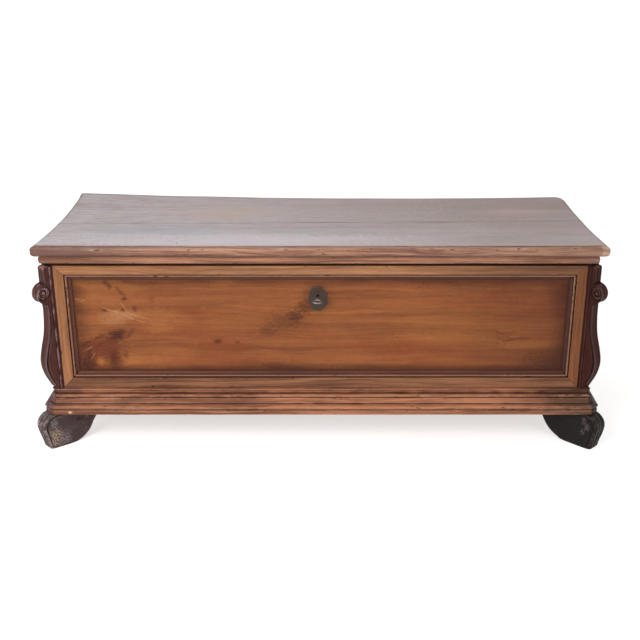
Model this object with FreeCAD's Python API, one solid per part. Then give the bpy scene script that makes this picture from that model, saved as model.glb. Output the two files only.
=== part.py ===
import FreeCAD, Part
import math
import os

V = FreeCAD.Vector

# A walnut chest: a framed box on scroll feet, with carved brackets on its cut-off front corners
# and a cupped lid. Millimetres, Z up, floor at zero, X along the front, the front faces -Y.
# The origin is at floor level, under the middle of the chest.

# Heights above the floor
foot_height = 108.0
base_height = 75.0
frame_height = 372.0
lid_gap = 6.5
skirt_height = 25.5
lid_thickness = 34.0

# Carcase
case_half_width = 778.0
case_depth = 588.0
corner_cut = 29.0
board_thickness = 24.0
bottom_thickness = 18.0
back_split_share = 0.5
bottom_split_share = 0.5
post_depth = 44.0
scribe_gap = 0.4

# Frame strips and panel mouldings
strip_thickness = 16.0
stile_width = 29.0
top_rail_width = 26.0
bottom_rail_width = 31.0
moulding_width = 17.0
moulding_section_shares = (((0.0, 0.55),), ((0.12, 0.55),), ((0.12, 0.70),), ((0.29, 0.90), (0.46, 0.70)),
                           ((0.46, 0.52),), ((0.62, 0.27), (0.88, 0.19)), ((1.0, 0.19),), ((1.0, 0.0),))

# Base moulding, from its foot up, in shares of its reach and height
base_reach = 32.0
base_section_shares = (((0.94, 0.0),), ((0.94, 0.17),), ((0.80, 0.20),), ((0.96, 0.31), (0.72, 0.41)),
                       ((0.55, 0.43),), ((0.40, 0.50), (0.33, 0.61)), ((0.26, 0.63),),
                       ((0.36, 0.70), (0.20, 0.76)), ((0.12, 0.78),), ((0.27, 0.88), (0.10, 0.97)),
                       ((0.0, 1.0),))

# Corner strip and the carved bracket on it
corner_strip_thickness = 10.0
bracket_width = 38.0
bracket_reach = 37.5
bracket_headroom = 2.0
bracket_bead = 8.0
bracket_channel_depth = 4.0
bracket_outline_shares = (((0.19, 0.0),),
                          ((0.755, 0.122), (0.952, 0.228), (0.784, 0.328), (0.448, 0.453), (0.307, 0.580),
                           (0.28, 0.687)),
                          ((1.0, 0.775), (0.28, 0.863)), ((0.28, 0.978),), ((0.24, 0.995), (0.16, 1.0)),
                          ((0.0, 1.0),))
volute_eye_out_share = 0.46
volute_eye_up_share = 0.778
volute_eye_radius = 7.0
volute_eye_height = 3.0
volute_eye_top_share = 0.5

# Front feet, set on the diagonal
foot_width = 54.0
foot_inward = 130.0
foot_outward = 74.5
foot_ridges = 3
foot_groove_width = 5.0
foot_groove_depth = 4.0
foot_nose_shares = (((0.51, 1.0),), ((0.86, 0.90), (1.0, 0.63)), ((0.805, 0.12),),
                    ((0.76, 0.03), (0.645, 0.0)))
foot_heel_shares = (((0.154, 0.0),), ((0.538, 0.136), (0.80, 0.50)), ((1.0, 1.0),))

# Rear feet
rear_foot_length = 150.0
rear_foot_width = 54.0
rear_foot_heel_shares = (((0.45, 0.0),), ((0.725, 0.142), (0.867, 0.50)), ((1.0, 1.0),), ((0.0, 1.0),))

# Lid
lid_overhang = 22.0
lid_front_overhang = 24.0
lid_cup = 9.0
lid_fall = 14.0
lid_joint_left_share = 0.455
lid_joint_right_share = 0.515
lid_back_corner_radius = 32.0
lid_edge_run = 12.0
lid_edge_shares = (((0.15, 0.06), (0.0, 0.24)), ((0.0, 0.42),), ((0.12, 0.46),), ((0.0, 0.50),),
                   ((0.0, 0.70),), ((0.2, 0.75),), ((0.45, 0.90), (1.0, 1.0)))
lid_edge_start_share = 0.5
skirt_thickness = 13.0
skirt_inset = 2.0
lid_fitting_gap = 0.3
skirt_section_shares = (((0.73, 0.0),), ((0.94, 0.06), (1.0, 0.20)), ((1.0, 0.37),), ((0.88, 0.43),),
                        ((0.92, 0.68), (1.0, 0.96)))

# Hinges
hinge_place_share = 0.62
strap_width = 36.0
strap_thickness = 3.0
lid_strap_length = 230.0
case_strap_length = 140.0
strap_point_share = 0.5
knuckle_radius = 6.5
knuckle_gap = 0.3
middle_knuckle_shares = (1.0 / 3.0, 2.0 / 3.0)
pin_radius = 3.0
pin_clearance = 0.06
pin_stand_out = 3.0
strap_recess_gap = 0.5

# Lock
lock_offset = -8.0
lock_headroom = 21.0
escutcheon_width = 58.0
escutcheon_height = 75.0
escutcheon_drop = 9.5
escutcheon_corner = 15.0
escutcheon_thickness = 2.0
keyhole_clearance = 0.4
lock_half_width = 64.0
lock_below = 44.0
lock_depth = 24.0
lock_wall = 2.0
staple_slot_gap = 3.0

# Bolt
bolt_travel = 18.0
bolt_thickness = 5.0
bolt_height = 10.0
bolt_setback = 10.0
bolt_rise = 75.0
bolt_headroom = 13.0
bolt_tail = 58.0
bolt_nose = 40.0
talon_wall = 8.0
talon_rise = 14.0
talon_half_width = 13.5
talon_depth = 8.5
guide_thickness = 6.0
guide_wall = 6.0
guide_clearance = 0.3
guide_left = 38.0
guide_right = 33.0

# Key
key_radius = 4.0
bit_radius = 20.0
bit_thickness = 5.0
bit_length = 11.0
bit_setback = 7.0
key_end_gap = 4.0
bow_radius = 13.0
bow_wire_radius = 3.0
bow_distance = 50.0
collar_radius = 6.5
collar_length = 4.0
drill_radius = 1.6
drill_clearance = 0.3
drill_depth = 12.0

# Staple under the lid
staple_width = 12.0
staple_bar = 3.0
staple_side_gap = 1.0
staple_nose_gap = 2.5
staple_plate_length = 44.0
staple_plate_width = 22.0
staple_plate_thickness = 3.0

overrun = 20.0

# Levels
base_top = foot_height + base_height
frame_top = base_top + frame_height
skirt_bottom = frame_top + lid_gap
lid_bottom = skirt_bottom + skirt_height
lid_top = lid_bottom + lid_thickness

# Plan of the carcase, before it is set about the middle of the chest
diagonal = math.sqrt(0.5)
foot_front = (foot_outward + foot_width / 2.0) * diagonal - corner_cut / 2.0
hinge_back = case_depth + 2.0 * knuckle_radius
front = (foot_front - hinge_back) / 2.0
back = front + case_depth
panel_face = front + strip_thickness
side_board_face = case_half_width - strip_thickness
front_half_width = case_half_width - corner_cut
inside_half_width = side_board_face - board_thickness
inside_front = panel_face + board_thickness
inside_back = back - board_thickness
post_back = panel_face + post_depth

# Lid plan, and the arc that its cupped boards follow; its chord falls towards the back
lid_half_width = case_half_width + lid_overhang
lid_front = front - lid_front_overhang
lid_half_depth = (back - lid_front) / 2.0
lid_middle = (back + lid_front) / 2.0
lid_tilt = math.atan2(lid_fall, 2.0 * lid_half_depth)
half_chord = lid_half_depth / math.cos(lid_tilt)
cup_radius = (half_chord ** 2 + lid_cup ** 2) / (2.0 * lid_cup)
cup_half_angle = math.asin(half_chord / cup_radius)
axis_lift = cup_radius - lid_cup
cup_axis = V(0, lid_middle + axis_lift * math.sin(lid_tilt),
             lid_bottom - lid_fall / 2.0 + axis_lift * math.cos(lid_tilt))

# Lock places
lock_top = lid_bottom - lock_headroom
bolt_high = lock_top - bolt_headroom - guide_wall
bolt_low = bolt_high - bolt_height
key_height = bolt_low - bolt_rise
lock_back = inside_front + lock_depth
bolt_front = inside_front + bolt_setback
staple_middle = lock_offset + bolt_nose + staple_nose_gap + staple_width / 2.0
staple_front = bolt_front - staple_side_gap - staple_bar
staple_back = bolt_front + bolt_thickness + staple_side_gap + staple_bar
hinge_axis = V(0, back + knuckle_radius, lid_bottom - lid_fall - knuckle_radius)


def block(x_low, x_high, y_low, y_high, z_low, z_high):
    """A plain board between two opposite corners."""
    return Part.makeBox(x_high - x_low, y_high - y_low, z_high - z_low, V(x_low, y_low, z_low))


def outline(start, moves, place):
    """Closed face through moves: one point is a line, two an arc via the first, more a smooth curve."""
    first = place(start)
    here = first
    edges = []
    for move in moves:
        points = [here] + [place(point) for point in move]
        if len(move) == 1:
            edges.append(Part.LineSegment(*points).toShape())
        elif len(move) == 2:
            edges.append(Part.Arc(*points).toShape())
        else:
            curve = Part.BSplineCurve()
            curve.interpolate(points)
            edges.append(curve.toShape())
        here = points[-1]
    edges.append(Part.LineSegment(here, first).toShape())
    return Part.Face(Part.Wire(edges))


def sized(shares, width, height):
    """Moves given in shares of a width and a height, turned into sizes."""
    return [tuple((point[0] * width, point[1] * height) for point in move) for move in shares]


def polygon(points, travel):
    """A prism on a closed row of points."""
    return Part.Face(Part.makePolygon(list(points) + [points[0]])).extrude(travel)


def mitred(section, origin, out, up, corners, height):
    """A moulded strip: its section runs past both ends and is cut back to the mitres at its corners."""
    along = (corners[3] - corners[0]).normalize()
    stations = [(corner - origin).dot(along) for corner in corners]
    start = origin + along * min(stations)

    def place(point):
        return start + out * point[0] + up * point[1]

    bar = outline((0.0, 0.0), section, place).extrude(along * (max(stations) - min(stations)))
    return bar.common(polygon(corners, up * height))


def ring(u_low, u_high, v_low, v_high):
    """Corners of an upright rectangle, counted from its low left one."""
    return [(u_low, v_low), (u_high, v_low), (u_high, v_high), (u_low, v_high)]


def strips(outer, inner, place):
    """Corner points of the four mitred sides between two rectangles, by name."""
    result = {}
    for index, name in enumerate(("bottom_rail", "right_stile", "top_rail", "left_stile")):
        after = (index + 1) % len(outer)
        result[name] = [place(*outer[index]), place(*inner[index]),
                        place(*inner[after]), place(*outer[after])]
    return result


def lid_point(run, rise):
    """A point of the cupped lid's section, from the run along its arc and the rise above its underside."""
    radius = cup_radius - rise
    angle = run / cup_radius - lid_tilt
    return cup_axis + V(0, radius * math.sin(angle), -radius * math.cos(angle))


def lid_slab(run_low, run_high, rise_low, rise_high, x_low, x_high):
    """A slab that follows the cup of the lid, between two runs and two rises."""
    middle = (run_low + run_high) / 2.0
    moves = [((middle, rise_low), (run_high, rise_low)), ((run_high, rise_high),),
             ((middle, rise_high), (run_low, rise_high))]
    face = outline((run_low, rise_low), moves, lambda point: lid_point(*point) + V(x_low, 0, 0))
    return face.extrude(V(x_high - x_low, 0, 0))


def under_lid(gap):
    """Everything below the lid's underside, less a gap, to scribe what the lid comes down on."""
    reach = lid_half_depth + overrun
    moves = [((0.0, -gap), (reach, -gap)), ((reach, -lid_bottom),), ((-reach, -lid_bottom),)]
    face = outline((-reach, -gap), moves, lambda point: lid_point(*point) - V(lid_half_width, 0, 0))
    return face.extrude(V(2.0 * lid_half_width, 0, 0))


def save(name, shape):
    """Write one piece to its own file."""
    if not shape.isValid() or shape.Volume <= 0.0:
        raise ValueError("bad solid in " + name)
    shape.exportStep(os.path.join("parts", name + ".step"))


def carcase():
    """Front board with its keyhole, corner posts, side boards, back planks and bottom planks."""
    scribe = under_lid(scribe_gap)
    z_low = foot_height
    tall = lid_bottom + overrun
    board = block(-inside_half_width, inside_half_width, panel_face, inside_front, z_low, tall)
    board = board.cut(keyhole(panel_face, inside_front))
    pieces = {"front_board": board.common(scribe)}
    for side, name in ((-1, "left"), (1, "right")):
        plan = [(front_half_width, front), (case_half_width, front + corner_cut),
                (side_board_face, front + corner_cut), (side_board_face, post_back),
                (inside_half_width, post_back), (inside_half_width, panel_face),
                (front_half_width, panel_face)]
        post = polygon([V(side * x, y, z_low) for x, y in plan], V(0, 0, frame_top - z_low))
        rim = block(inside_half_width, side_board_face, panel_face, post_back, z_low, tall)
        if side < 0:
            rim = rim.mirror(V(0, 0, 0), V(1, 0, 0))
        pieces[name + "_corner_post"] = post.fuse(rim.common(scribe)).removeSplitter()
        wall = block(inside_half_width, side_board_face, post_back, inside_back, z_low, tall)
        if side < 0:
            wall = wall.mirror(V(0, 0, 0), V(1, 0, 0))
        pieces[name + "_side_board"] = wall.common(scribe)
    split = z_low + (lid_bottom - z_low) * back_split_share
    pieces["lower_back_plank"] = block(-side_board_face, side_board_face, inside_back, back, z_low, split)
    upper = block(-side_board_face, side_board_face, inside_back, back, split, tall).common(scribe)
    for x in hinge_places():
        upper = upper.cut(strap_bed(x))
    pieces["upper_back_plank"] = upper
    middle = inside_front + (inside_back - inside_front) * bottom_split_share
    floor = z_low + bottom_thickness
    for name, fore, rear in (("front", inside_front, middle), ("rear", middle, inside_back)):
        plank = block(-inside_half_width, inside_half_width, fore, rear, z_low, floor)
        pieces[name + "_bottom_plank"] = plank
    return pieces


def front_frame():
    """Four flat strips mitred round the front, and the bead and hollow planted inside them."""
    outer = ring(-front_half_width, front_half_width, base_top, frame_top)
    sight = ring(stile_width - front_half_width, front_half_width - stile_width,
                 base_top + bottom_rail_width, frame_top - top_rail_width)
    inner = ring(sight[0][0] + moulding_width, sight[2][0] - moulding_width,
                 sight[0][1] + moulding_width, sight[2][1] - moulding_width)
    towards_viewer = V(0, -1, 0)

    def place(x, z):
        return V(x, panel_face, z)

    pieces = {}
    for name, corners in strips(outer, sight, place).items():
        pieces["front_" + name] = polygon(corners, towards_viewer * strip_thickness)
    inwards = {"bottom_rail": V(0, 0, 1), "right_stile": V(-1, 0, 0), "top_rail": V(0, 0, -1),
               "left_stile": V(1, 0, 0)}
    sides = {"bottom_rail": "bottom", "right_stile": "right", "top_rail": "top", "left_stile": "left"}
    section = sized(moulding_section_shares, moulding_width, strip_thickness)
    for name, corners in strips(sight, inner, place).items():
        shape = mitred(section, corners[0], inwards[name], towards_viewer, corners, strip_thickness)
        pieces["front_panel_moulding_" + sides[name]] = shape
    return pieces


def side_frames():
    """Mitred strips on each end of the chest, with the panel moulding worked on their inner edge."""
    section = [((0.0, strip_thickness),), ((stile_width, strip_thickness),)]
    for move in sized(moulding_section_shares, moulding_width, strip_thickness):
        section.append(tuple((point[0] + stile_width, point[1]) for point in move))
    whole = stile_width + moulding_width
    outer = ring(front + corner_cut, back, base_top, frame_top)
    inner = ring(outer[0][0] + whole, outer[2][0] - whole, outer[0][1] + whole, outer[2][1] - whole)
    names = {"bottom_rail": "bottom_rail", "right_stile": "rear_stile", "top_rail": "top_rail",
             "left_stile": "front_stile"}
    inwards = {"bottom_rail": V(0, 0, 1), "right_stile": V(0, -1, 0), "top_rail": V(0, 0, -1),
               "left_stile": V(0, 1, 0)}
    pieces = {}
    for side, prefix in ((-1, "left_"), (1, "right_")):
        placed = strips(outer, inner, lambda y, z: V(side * side_board_face, y, z))
        for name, corners in placed.items():
            outwards = V(side, 0, 0)
            shape = mitred(section, corners[0], inwards[name], outwards, corners, strip_thickness)
            pieces[prefix + "side_" + names[name]] = shape
    return pieces


def plan_corner(index, side, reach):
    """Corner of the base's plan, moved out by a reach: 0 middle, 1 and 2 the cut corner, 3 the back."""
    spread = math.tan(math.pi / 8.0) * reach
    table = [(0.0, front - reach), (front_half_width + spread, front - reach),
             (case_half_width + reach, front + corner_cut - spread), (case_half_width + reach, back)]
    x, y = table[index]
    return V(side * x, y, foot_height)


def base_mouldings():
    """The moulded base in five mitred lengths: front, two cut corners, two ends."""
    up = V(0, 0, 1)
    core = strip_thickness
    deep = sized(base_section_shares, base_reach, base_height)
    backed = [tuple((point[0] + core, point[1]) for point in move) for move in deep]
    backed = backed + [((0.0, base_height),)]
    corners = [plan_corner(1, -1, -core), plan_corner(1, -1, base_reach), plan_corner(1, 1, base_reach),
               plan_corner(1, 1, -core)]
    pieces = {"front_base_moulding": mitred(backed, corners[0], V(0, -1, 0), up, corners, base_height)}
    for side, prefix in ((-1, "left_"), (1, "right_")):
        out = V(side * diagonal, -diagonal, 0)
        corners = [plan_corner(1, side, 0.0), plan_corner(1, side, base_reach),
                   plan_corner(2, side, base_reach), plan_corner(2, side, 0.0)]
        cant = mitred(deep, corners[0], out, up, corners, base_height)
        pieces[prefix + "corner_base_moulding"] = cant
        corners = [plan_corner(2, side, -core), plan_corner(2, side, base_reach),
                   plan_corner(3, side, base_reach), plan_corner(3, side, -core)]
        end = mitred(backed, corners[0], V(side, 0, 0), up, corners, base_height)
        pieces[prefix + "side_base_moulding"] = end
    return pieces


def corner_place(side):
    """Origin on the cut corner's face at floor level, its outward direction and the one across it."""
    origin = V(side * (case_half_width - corner_cut / 2.0), front + corner_cut / 2.0, 0)
    return origin, V(side * diagonal, -diagonal, 0), V(side * diagonal, diagonal, 0)


def corner_strip(side):
    """The straight strip that covers the cut corner and carries the bracket."""
    origin, out, across = corner_place(side)
    half = corner_cut * diagonal
    points = [origin - across * half, origin - across * half + out * corner_strip_thickness,
              origin + across * half + out * corner_strip_thickness, origin + across * half]
    return polygon([point + V(0, 0, base_top) for point in points], V(0, 0, frame_height))


def bracket(side):
    """A scroll bracket: block, volute, neck and belly, hollowed between two edge beads."""
    origin, out, across = corner_place(side)
    origin = origin + out * corner_strip_thickness + V(0, 0, base_top)
    height = frame_height - bracket_headroom
    half = bracket_width / 2.0
    bands = [(-half, bracket_bead, 0.0),
             (bracket_bead - half, bracket_width - 2.0 * bracket_bead, bracket_channel_depth),
             (half - bracket_bead, bracket_bead, 0.0)]
    shape = None
    for start, width, inset in bands:
        def place(point):
            stand = max(point[0] - inset, 0.0)
            return origin + across * start + out * stand + V(0, 0, point[1])

        moves = sized(bracket_outline_shares, bracket_reach, height)
        slab = outline((0.0, 0.0), moves, place).extrude(across * width)
        shape = slab if shape is None else shape.fuse(slab)
    for way in (-1, 1):
        eye = origin + V(0, 0, height * volute_eye_up_share)
        eye = eye + out * (bracket_reach * volute_eye_out_share) + across * (way * half)
        button = Part.makeCone(volute_eye_radius, volute_eye_radius * volute_eye_top_share,
                               volute_eye_height, eye, across * way)
        shape = shape.fuse(button)
    return shape.removeSplitter()


def front_foot(side):
    """A scroll foot on the diagonal, with ridges round its nose and a long curved heel."""
    origin, out, across = corner_place(side)
    ridge = (foot_width - (foot_ridges - 1) * foot_groove_width) / foot_ridges
    bands = []
    start = -foot_width / 2.0
    for index in range(2 * foot_ridges - 1):
        grooved = index % 2 == 1
        width = foot_groove_width if grooved else ridge
        bands.append((start, width, foot_groove_depth if grooved else 0.0))
        start = start + width
    nose = sized(foot_nose_shares, foot_outward, foot_height)
    heel = sized(foot_heel_shares, foot_inward, foot_height)
    shape = None
    for start, width, inset in bands:
        def place(point):
            return origin + across * start + out * point[0] + V(0, 0, point[1])

        moves = [tuple((point[0] - inset, point[1]) for point in move) for move in nose]
        moves = moves + [tuple((-point[0], point[1]) for point in move) for move in heel]
        slab = outline((0.0, foot_height), moves, place).extrude(across * width)
        shape = slab if shape is None else shape.fuse(slab)
    return shape.removeSplitter()


def rear_foot(side):
    """A plain bracket foot under each back corner, curved on its front."""
    inner = case_half_width - rear_foot_width

    def place(point):
        return V(side * inner, back - point[0] * rear_foot_length, point[1] * foot_height)

    return outline((0.0, 0.0), rear_foot_heel_shares, place).extrude(V(side * rear_foot_width, 0, 0))


def edge_cutter(place):
    """What is cut away outside the lid's moulded edge, as a face."""
    start = (lid_edge_run * lid_edge_start_share, 0.0)
    moves = sized(lid_edge_shares, lid_edge_run, lid_thickness)
    moves = moves + [((lid_edge_run, lid_thickness + overrun),), ((-overrun, lid_thickness + overrun),),
                     ((-overrun, -overrun),), ((lid_edge_run * lid_edge_start_share, -overrun),)]
    return outline(start, moves, place)


def back_corner(side):
    """What is cut away to round one back corner of the lid."""
    radius = lid_back_corner_radius
    tall = lid_top - skirt_bottom + overrun
    centre = V(side * (lid_half_width - radius), back - radius, skirt_bottom)
    far = V(side * (lid_half_width + overrun), back + overrun, skirt_bottom)
    square = block(min(centre.x, far.x), max(centre.x, far.x), centre.y, far.y, skirt_bottom,
                   skirt_bottom + tall)
    return square.cut(Part.makeCylinder(radius, tall, centre))


def lid_planks():
    """Two cupped planks, moulded along the front and both ends."""
    half_run = cup_radius * cup_half_angle
    slab = lid_slab(-half_run, half_run, 0.0, lid_thickness, -lid_half_width, lid_half_width)

    def front_place(point):
        return lid_point(point[0] - half_run, point[1]) - V(lid_half_width + overrun, 0, 0)

    slab = slab.cut(edge_cutter(front_place).extrude(V(2.0 * (lid_half_width + overrun), 0, 0)))
    sweep = math.degrees(2.0 * math.asin((lid_half_depth + overrun) / cup_radius))
    for side in (-1, 1):
        def side_place(point):
            return V(side * (lid_half_width - point[0]), 0, 0) + lid_point(0.0, point[1])

        face = edge_cutter(side_place)
        face.rotate(cup_axis, V(1, 0, 0), -sweep / 2.0)
        slab = slab.cut(face.revolve(cup_axis, V(1, 0, 0), sweep))
        slab = slab.cut(back_corner(side))
    wide = lid_half_width + overrun
    depth = 2.0 * lid_half_depth
    joint = [V(-wide, lid_front + depth * lid_joint_left_share, skirt_bottom),
             V(wide, lid_front + depth * lid_joint_right_share, skirt_bottom)]
    planks = {}
    for name, far in (("front", lid_front - overrun), ("rear", back + overrun)):
        half = polygon(joint + [V(wide, far, skirt_bottom), V(-wide, far, skirt_bottom)],
                       V(0, 0, lid_top + overrun - skirt_bottom))
        planks["lid_" + name + "_plank"] = slab.common(half)
    return planks


def lid_skirt():
    """Moulded strips under the lid's front and ends that hang over the rim of the case."""
    tall = skirt_height + overrun
    scribe = under_lid(lid_fitting_gap)
    face_x = case_half_width - skirt_inset
    section = sized(skirt_section_shares, skirt_thickness, skirt_height)
    section = section + [((skirt_thickness, tall),), ((0.0, tall),)]
    up = V(0, 0, 1)
    outer = [V(-face_x, front, skirt_bottom), V(face_x, front, skirt_bottom)]
    inner = [V(-face_x + skirt_thickness, front + skirt_thickness, skirt_bottom),
             V(face_x - skirt_thickness, front + skirt_thickness, skirt_bottom)]
    corners = [inner[0], outer[0], outer[1], inner[1]]
    strip = mitred(section, corners[0], V(0, -1, 0), up, corners, tall)
    pieces = {"lid_front_skirt": strip.common(scribe)}
    for index, name, side in ((0, "left", -1), (1, "right", 1)):
        rear_inner = V(side * (face_x - skirt_thickness), back, skirt_bottom)
        rear_outer = V(side * face_x, back, skirt_bottom)
        corners = [inner[index], outer[index], rear_outer, rear_inner]
        strip = mitred(section, corners[0], V(side, 0, 0), up, corners, tall)
        pieces["lid_" + name + "_skirt"] = strip.common(scribe)
    return pieces


def hinge_places():
    """The two hinges' places along the back."""
    return [-case_half_width * hinge_place_share, case_half_width * hinge_place_share]


def strap_bed(x):
    """Room in the back plank's top for the strap that is let in under the lid."""
    half = strap_width / 2.0 + strap_recess_gap
    reach = cup_radius * cup_half_angle
    start = reach - board_thickness - overrun
    return lid_slab(start, reach + overrun, -strap_thickness - strap_recess_gap, 0.0, x - half, x + half)


def knuckle(x, low_share, high_share):
    """One bored roll of a hinge, between two shares of the strap's width."""
    start = x - strap_width / 2.0 + strap_width * low_share + knuckle_gap / 2.0
    length = strap_width * (high_share - low_share) - knuckle_gap
    centre = hinge_axis + V(start, 0, 0)
    roll = Part.makeCylinder(knuckle_radius, length, centre, V(1, 0, 0))
    bore = Part.makeCylinder(pin_radius + pin_clearance, length + 2.0 * overrun, centre - V(overrun, 0, 0),
                             V(1, 0, 0))
    return roll, bore


def lid_strap(x):
    """The long strap under the lid, with the hinge's middle knuckle."""
    reach = cup_radius * cup_half_angle
    half = strap_width / 2.0
    strap = lid_slab(reach - lid_strap_length, reach, -strap_thickness, -lid_fitting_gap,
                     x - half, x + half)
    low_share, high_share = middle_knuckle_shares
    neck_half = strap_width * (high_share - low_share) / 2.0 - knuckle_gap / 2.0
    neck = lid_slab(reach - strap_thickness, reach + knuckle_radius, -strap_thickness, -lid_fitting_gap,
                    x - neck_half, x + neck_half)
    roll, bore = knuckle(x, low_share, high_share)
    strap = strap.fuse(neck).fuse(roll).cut(bore)
    tip_y = lid_point(reach - lid_strap_length, 0.0).y
    low = skirt_bottom - overrun
    for side in (-1, 1):
        points = [V(x + side * half, tip_y + half, low), V(x + side * half, tip_y, low),
                  V(x + side * half * strap_point_share, tip_y, low)]
        strap = strap.cut(polygon(points, V(0, 0, lid_top - low)))
    return strap.removeSplitter()


def case_strap(x):
    """The strap on the outside of the back, with the hinge's two outer knuckles."""
    half = strap_width / 2.0
    low = hinge_axis.z - case_strap_length
    plate = block(x - half, x + half, back, back + strap_thickness, low, hinge_axis.z)
    low_share, high_share = middle_knuckle_shares
    notch_half = strap_width * (high_share - low_share) / 2.0 + knuckle_gap / 2.0
    notch = block(x - notch_half, x + notch_half, back, back + strap_thickness,
                  hinge_axis.z - knuckle_radius - strap_thickness / 2.0, hinge_axis.z)
    plate = plate.cut(notch)
    for start_share, end_share in ((0.0, low_share), (high_share, 1.0)):
        roll, bore = knuckle(x, start_share, end_share)
        plate = plate.fuse(roll).cut(bore)
    for side in (-1, 1):
        points = [V(x + side * half, back, low + half), V(x + side * half, back, low),
                  V(x + side * half * strap_point_share, back, low)]
        plate = plate.cut(polygon(points, V(0, strap_thickness, 0)))
    return plate.removeSplitter()


def hinge_pin(x):
    """The pin through one hinge."""
    length = strap_width + 2.0 * pin_stand_out
    return Part.makeCylinder(pin_radius, length, hinge_axis + V(x - length / 2.0, 0, 0), V(1, 0, 0))


def keyhole(y_low, y_high):
    """Round hole with a slot below it for the key's bit."""
    centre = V(lock_offset, y_low, key_height)
    half = bit_thickness / 2.0 + keyhole_clearance
    reach = bit_radius + keyhole_clearance
    hole = Part.makeCylinder(key_radius + keyhole_clearance, y_high - y_low, centre, V(0, 1, 0))
    slot = block(lock_offset - half, lock_offset + half, y_low, y_high, key_height - reach, key_height)
    return hole.fuse(slot)


def escutcheon():
    """An iron plate with cut corners round the keyhole."""
    half = escutcheon_width / 2.0
    low = key_height - escutcheon_drop - escutcheon_height / 2.0
    high = low + escutcheon_height
    cut = escutcheon_corner
    outer = [(-half + cut, low), (half - cut, low), (half, low + cut), (half, high - cut),
             (half - cut, high), (-half + cut, high), (-half, high - cut), (-half, low + cut)]
    face_y = panel_face - escutcheon_thickness
    plate = polygon([V(lock_offset + x, face_y, z) for x, z in outer], V(0, escutcheon_thickness, 0))
    return plate.cut(keyhole(face_y, panel_face))


def lock_case():
    """Iron box on the inside of the front, with bolt guides, a drill pin and a slot for the staple."""
    low = key_height - lock_below
    left = lock_offset - lock_half_width
    right = lock_offset + lock_half_width
    shell = block(left, right, inside_front, lock_back, low, lock_top)
    shell = shell.cut(block(left + lock_wall, right - lock_wall, inside_front, lock_back - lock_wall,
                            low + lock_wall, lock_top - lock_wall))
    half = staple_width / 2.0 + staple_slot_gap
    slot = block(staple_middle - half, staple_middle + half, inside_front, staple_back + staple_side_gap,
                 lock_top - lock_wall, lock_top)
    shell = shell.cut(slot)
    passage = block(left, right, bolt_front - guide_clearance,
                    bolt_front + bolt_thickness + guide_clearance,
                    bolt_low - guide_clearance, bolt_high + guide_clearance)
    for start in (lock_offset - guide_left, lock_offset + guide_right):
        guide = block(start, start + guide_thickness, bolt_front - guide_wall, lock_back - lock_wall,
                      bolt_low - guide_wall, bolt_high + guide_wall)
        shell = shell.fuse(guide.cut(passage))
    pin_end = lock_back - lock_wall - key_end_gap - drill_depth + drill_clearance
    pin = Part.makeCylinder(drill_radius, lock_back - lock_wall - pin_end,
                            V(lock_offset, pin_end, key_height), V(0, 1, 0))
    return shell.fuse(pin).removeSplitter()


def lock_bolt():
    """A flat bolt with a tail whose notch the key's bit sweeps through, drawn back at rest."""
    bar = block(lock_offset - bolt_tail, lock_offset + bolt_nose, bolt_front, bolt_front + bolt_thickness,
                bolt_low, bolt_high)
    notch_middle = lock_offset - bolt_travel / 2.0
    reach = talon_half_width + talon_wall
    foot = key_height + talon_rise
    tail = block(notch_middle - reach, notch_middle + reach, bolt_front, bolt_front + bolt_thickness,
                 foot, bolt_low)
    notch = block(notch_middle - talon_half_width, notch_middle + talon_half_width, bolt_front,
                  bolt_front + bolt_thickness, foot, foot + talon_depth)
    return bar.fuse(tail.cut(notch)).removeSplitter()


def key():
    """A pipe key in the lock, its ring bow level and its bit turned to the left."""
    end = lock_back - lock_wall - key_end_gap
    bow_centre = V(lock_offset, panel_face - bow_distance, key_height)
    shaft_start = bow_centre.y + bow_radius
    along = V(0, 1, 0)
    shaft = Part.makeCylinder(key_radius, end - shaft_start, V(lock_offset, shaft_start, key_height), along)
    bow = Part.makeTorus(bow_radius, bow_wire_radius, bow_centre, V(0, 0, 1))
    collar = Part.makeCylinder(collar_radius, collar_length,
                               V(lock_offset, shaft_start + bow_wire_radius, key_height), along)
    bit = block(lock_offset - bit_radius, lock_offset, inside_front + bit_setback,
                inside_front + bit_setback + bit_length, key_height - bit_thickness / 2.0,
                key_height + bit_thickness / 2.0)
    bore = Part.makeCylinder(drill_radius + drill_clearance, drill_depth,
                             V(lock_offset, end - drill_depth, key_height), along)
    return shaft.fuse(collar).fuse(bow).fuse(bit).cut(bore).removeSplitter()


def lid_staple():
    """The loop under the lid that drops into the lock, on its nailed plate."""
    half = staple_width / 2.0
    low = bolt_low - staple_side_gap - 2.0 * staple_bar
    left = staple_middle - half
    right = staple_middle + half
    tall = lid_bottom
    loop = block(left, right, staple_front, staple_back, low, tall)
    loop = loop.cut(block(left, right, staple_front + staple_bar, staple_back - staple_bar,
                          low + staple_bar, tall))
    loop = loop.common(under_lid(lid_fitting_gap))
    plate_half = staple_plate_width / 2.0
    run = staple_front - lid_middle
    plate = lid_slab(run, run + staple_plate_length, -staple_plate_thickness, -lid_fitting_gap,
                     staple_middle - plate_half, staple_middle + plate_half)
    return loop.fuse(plate).removeSplitter()


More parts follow.
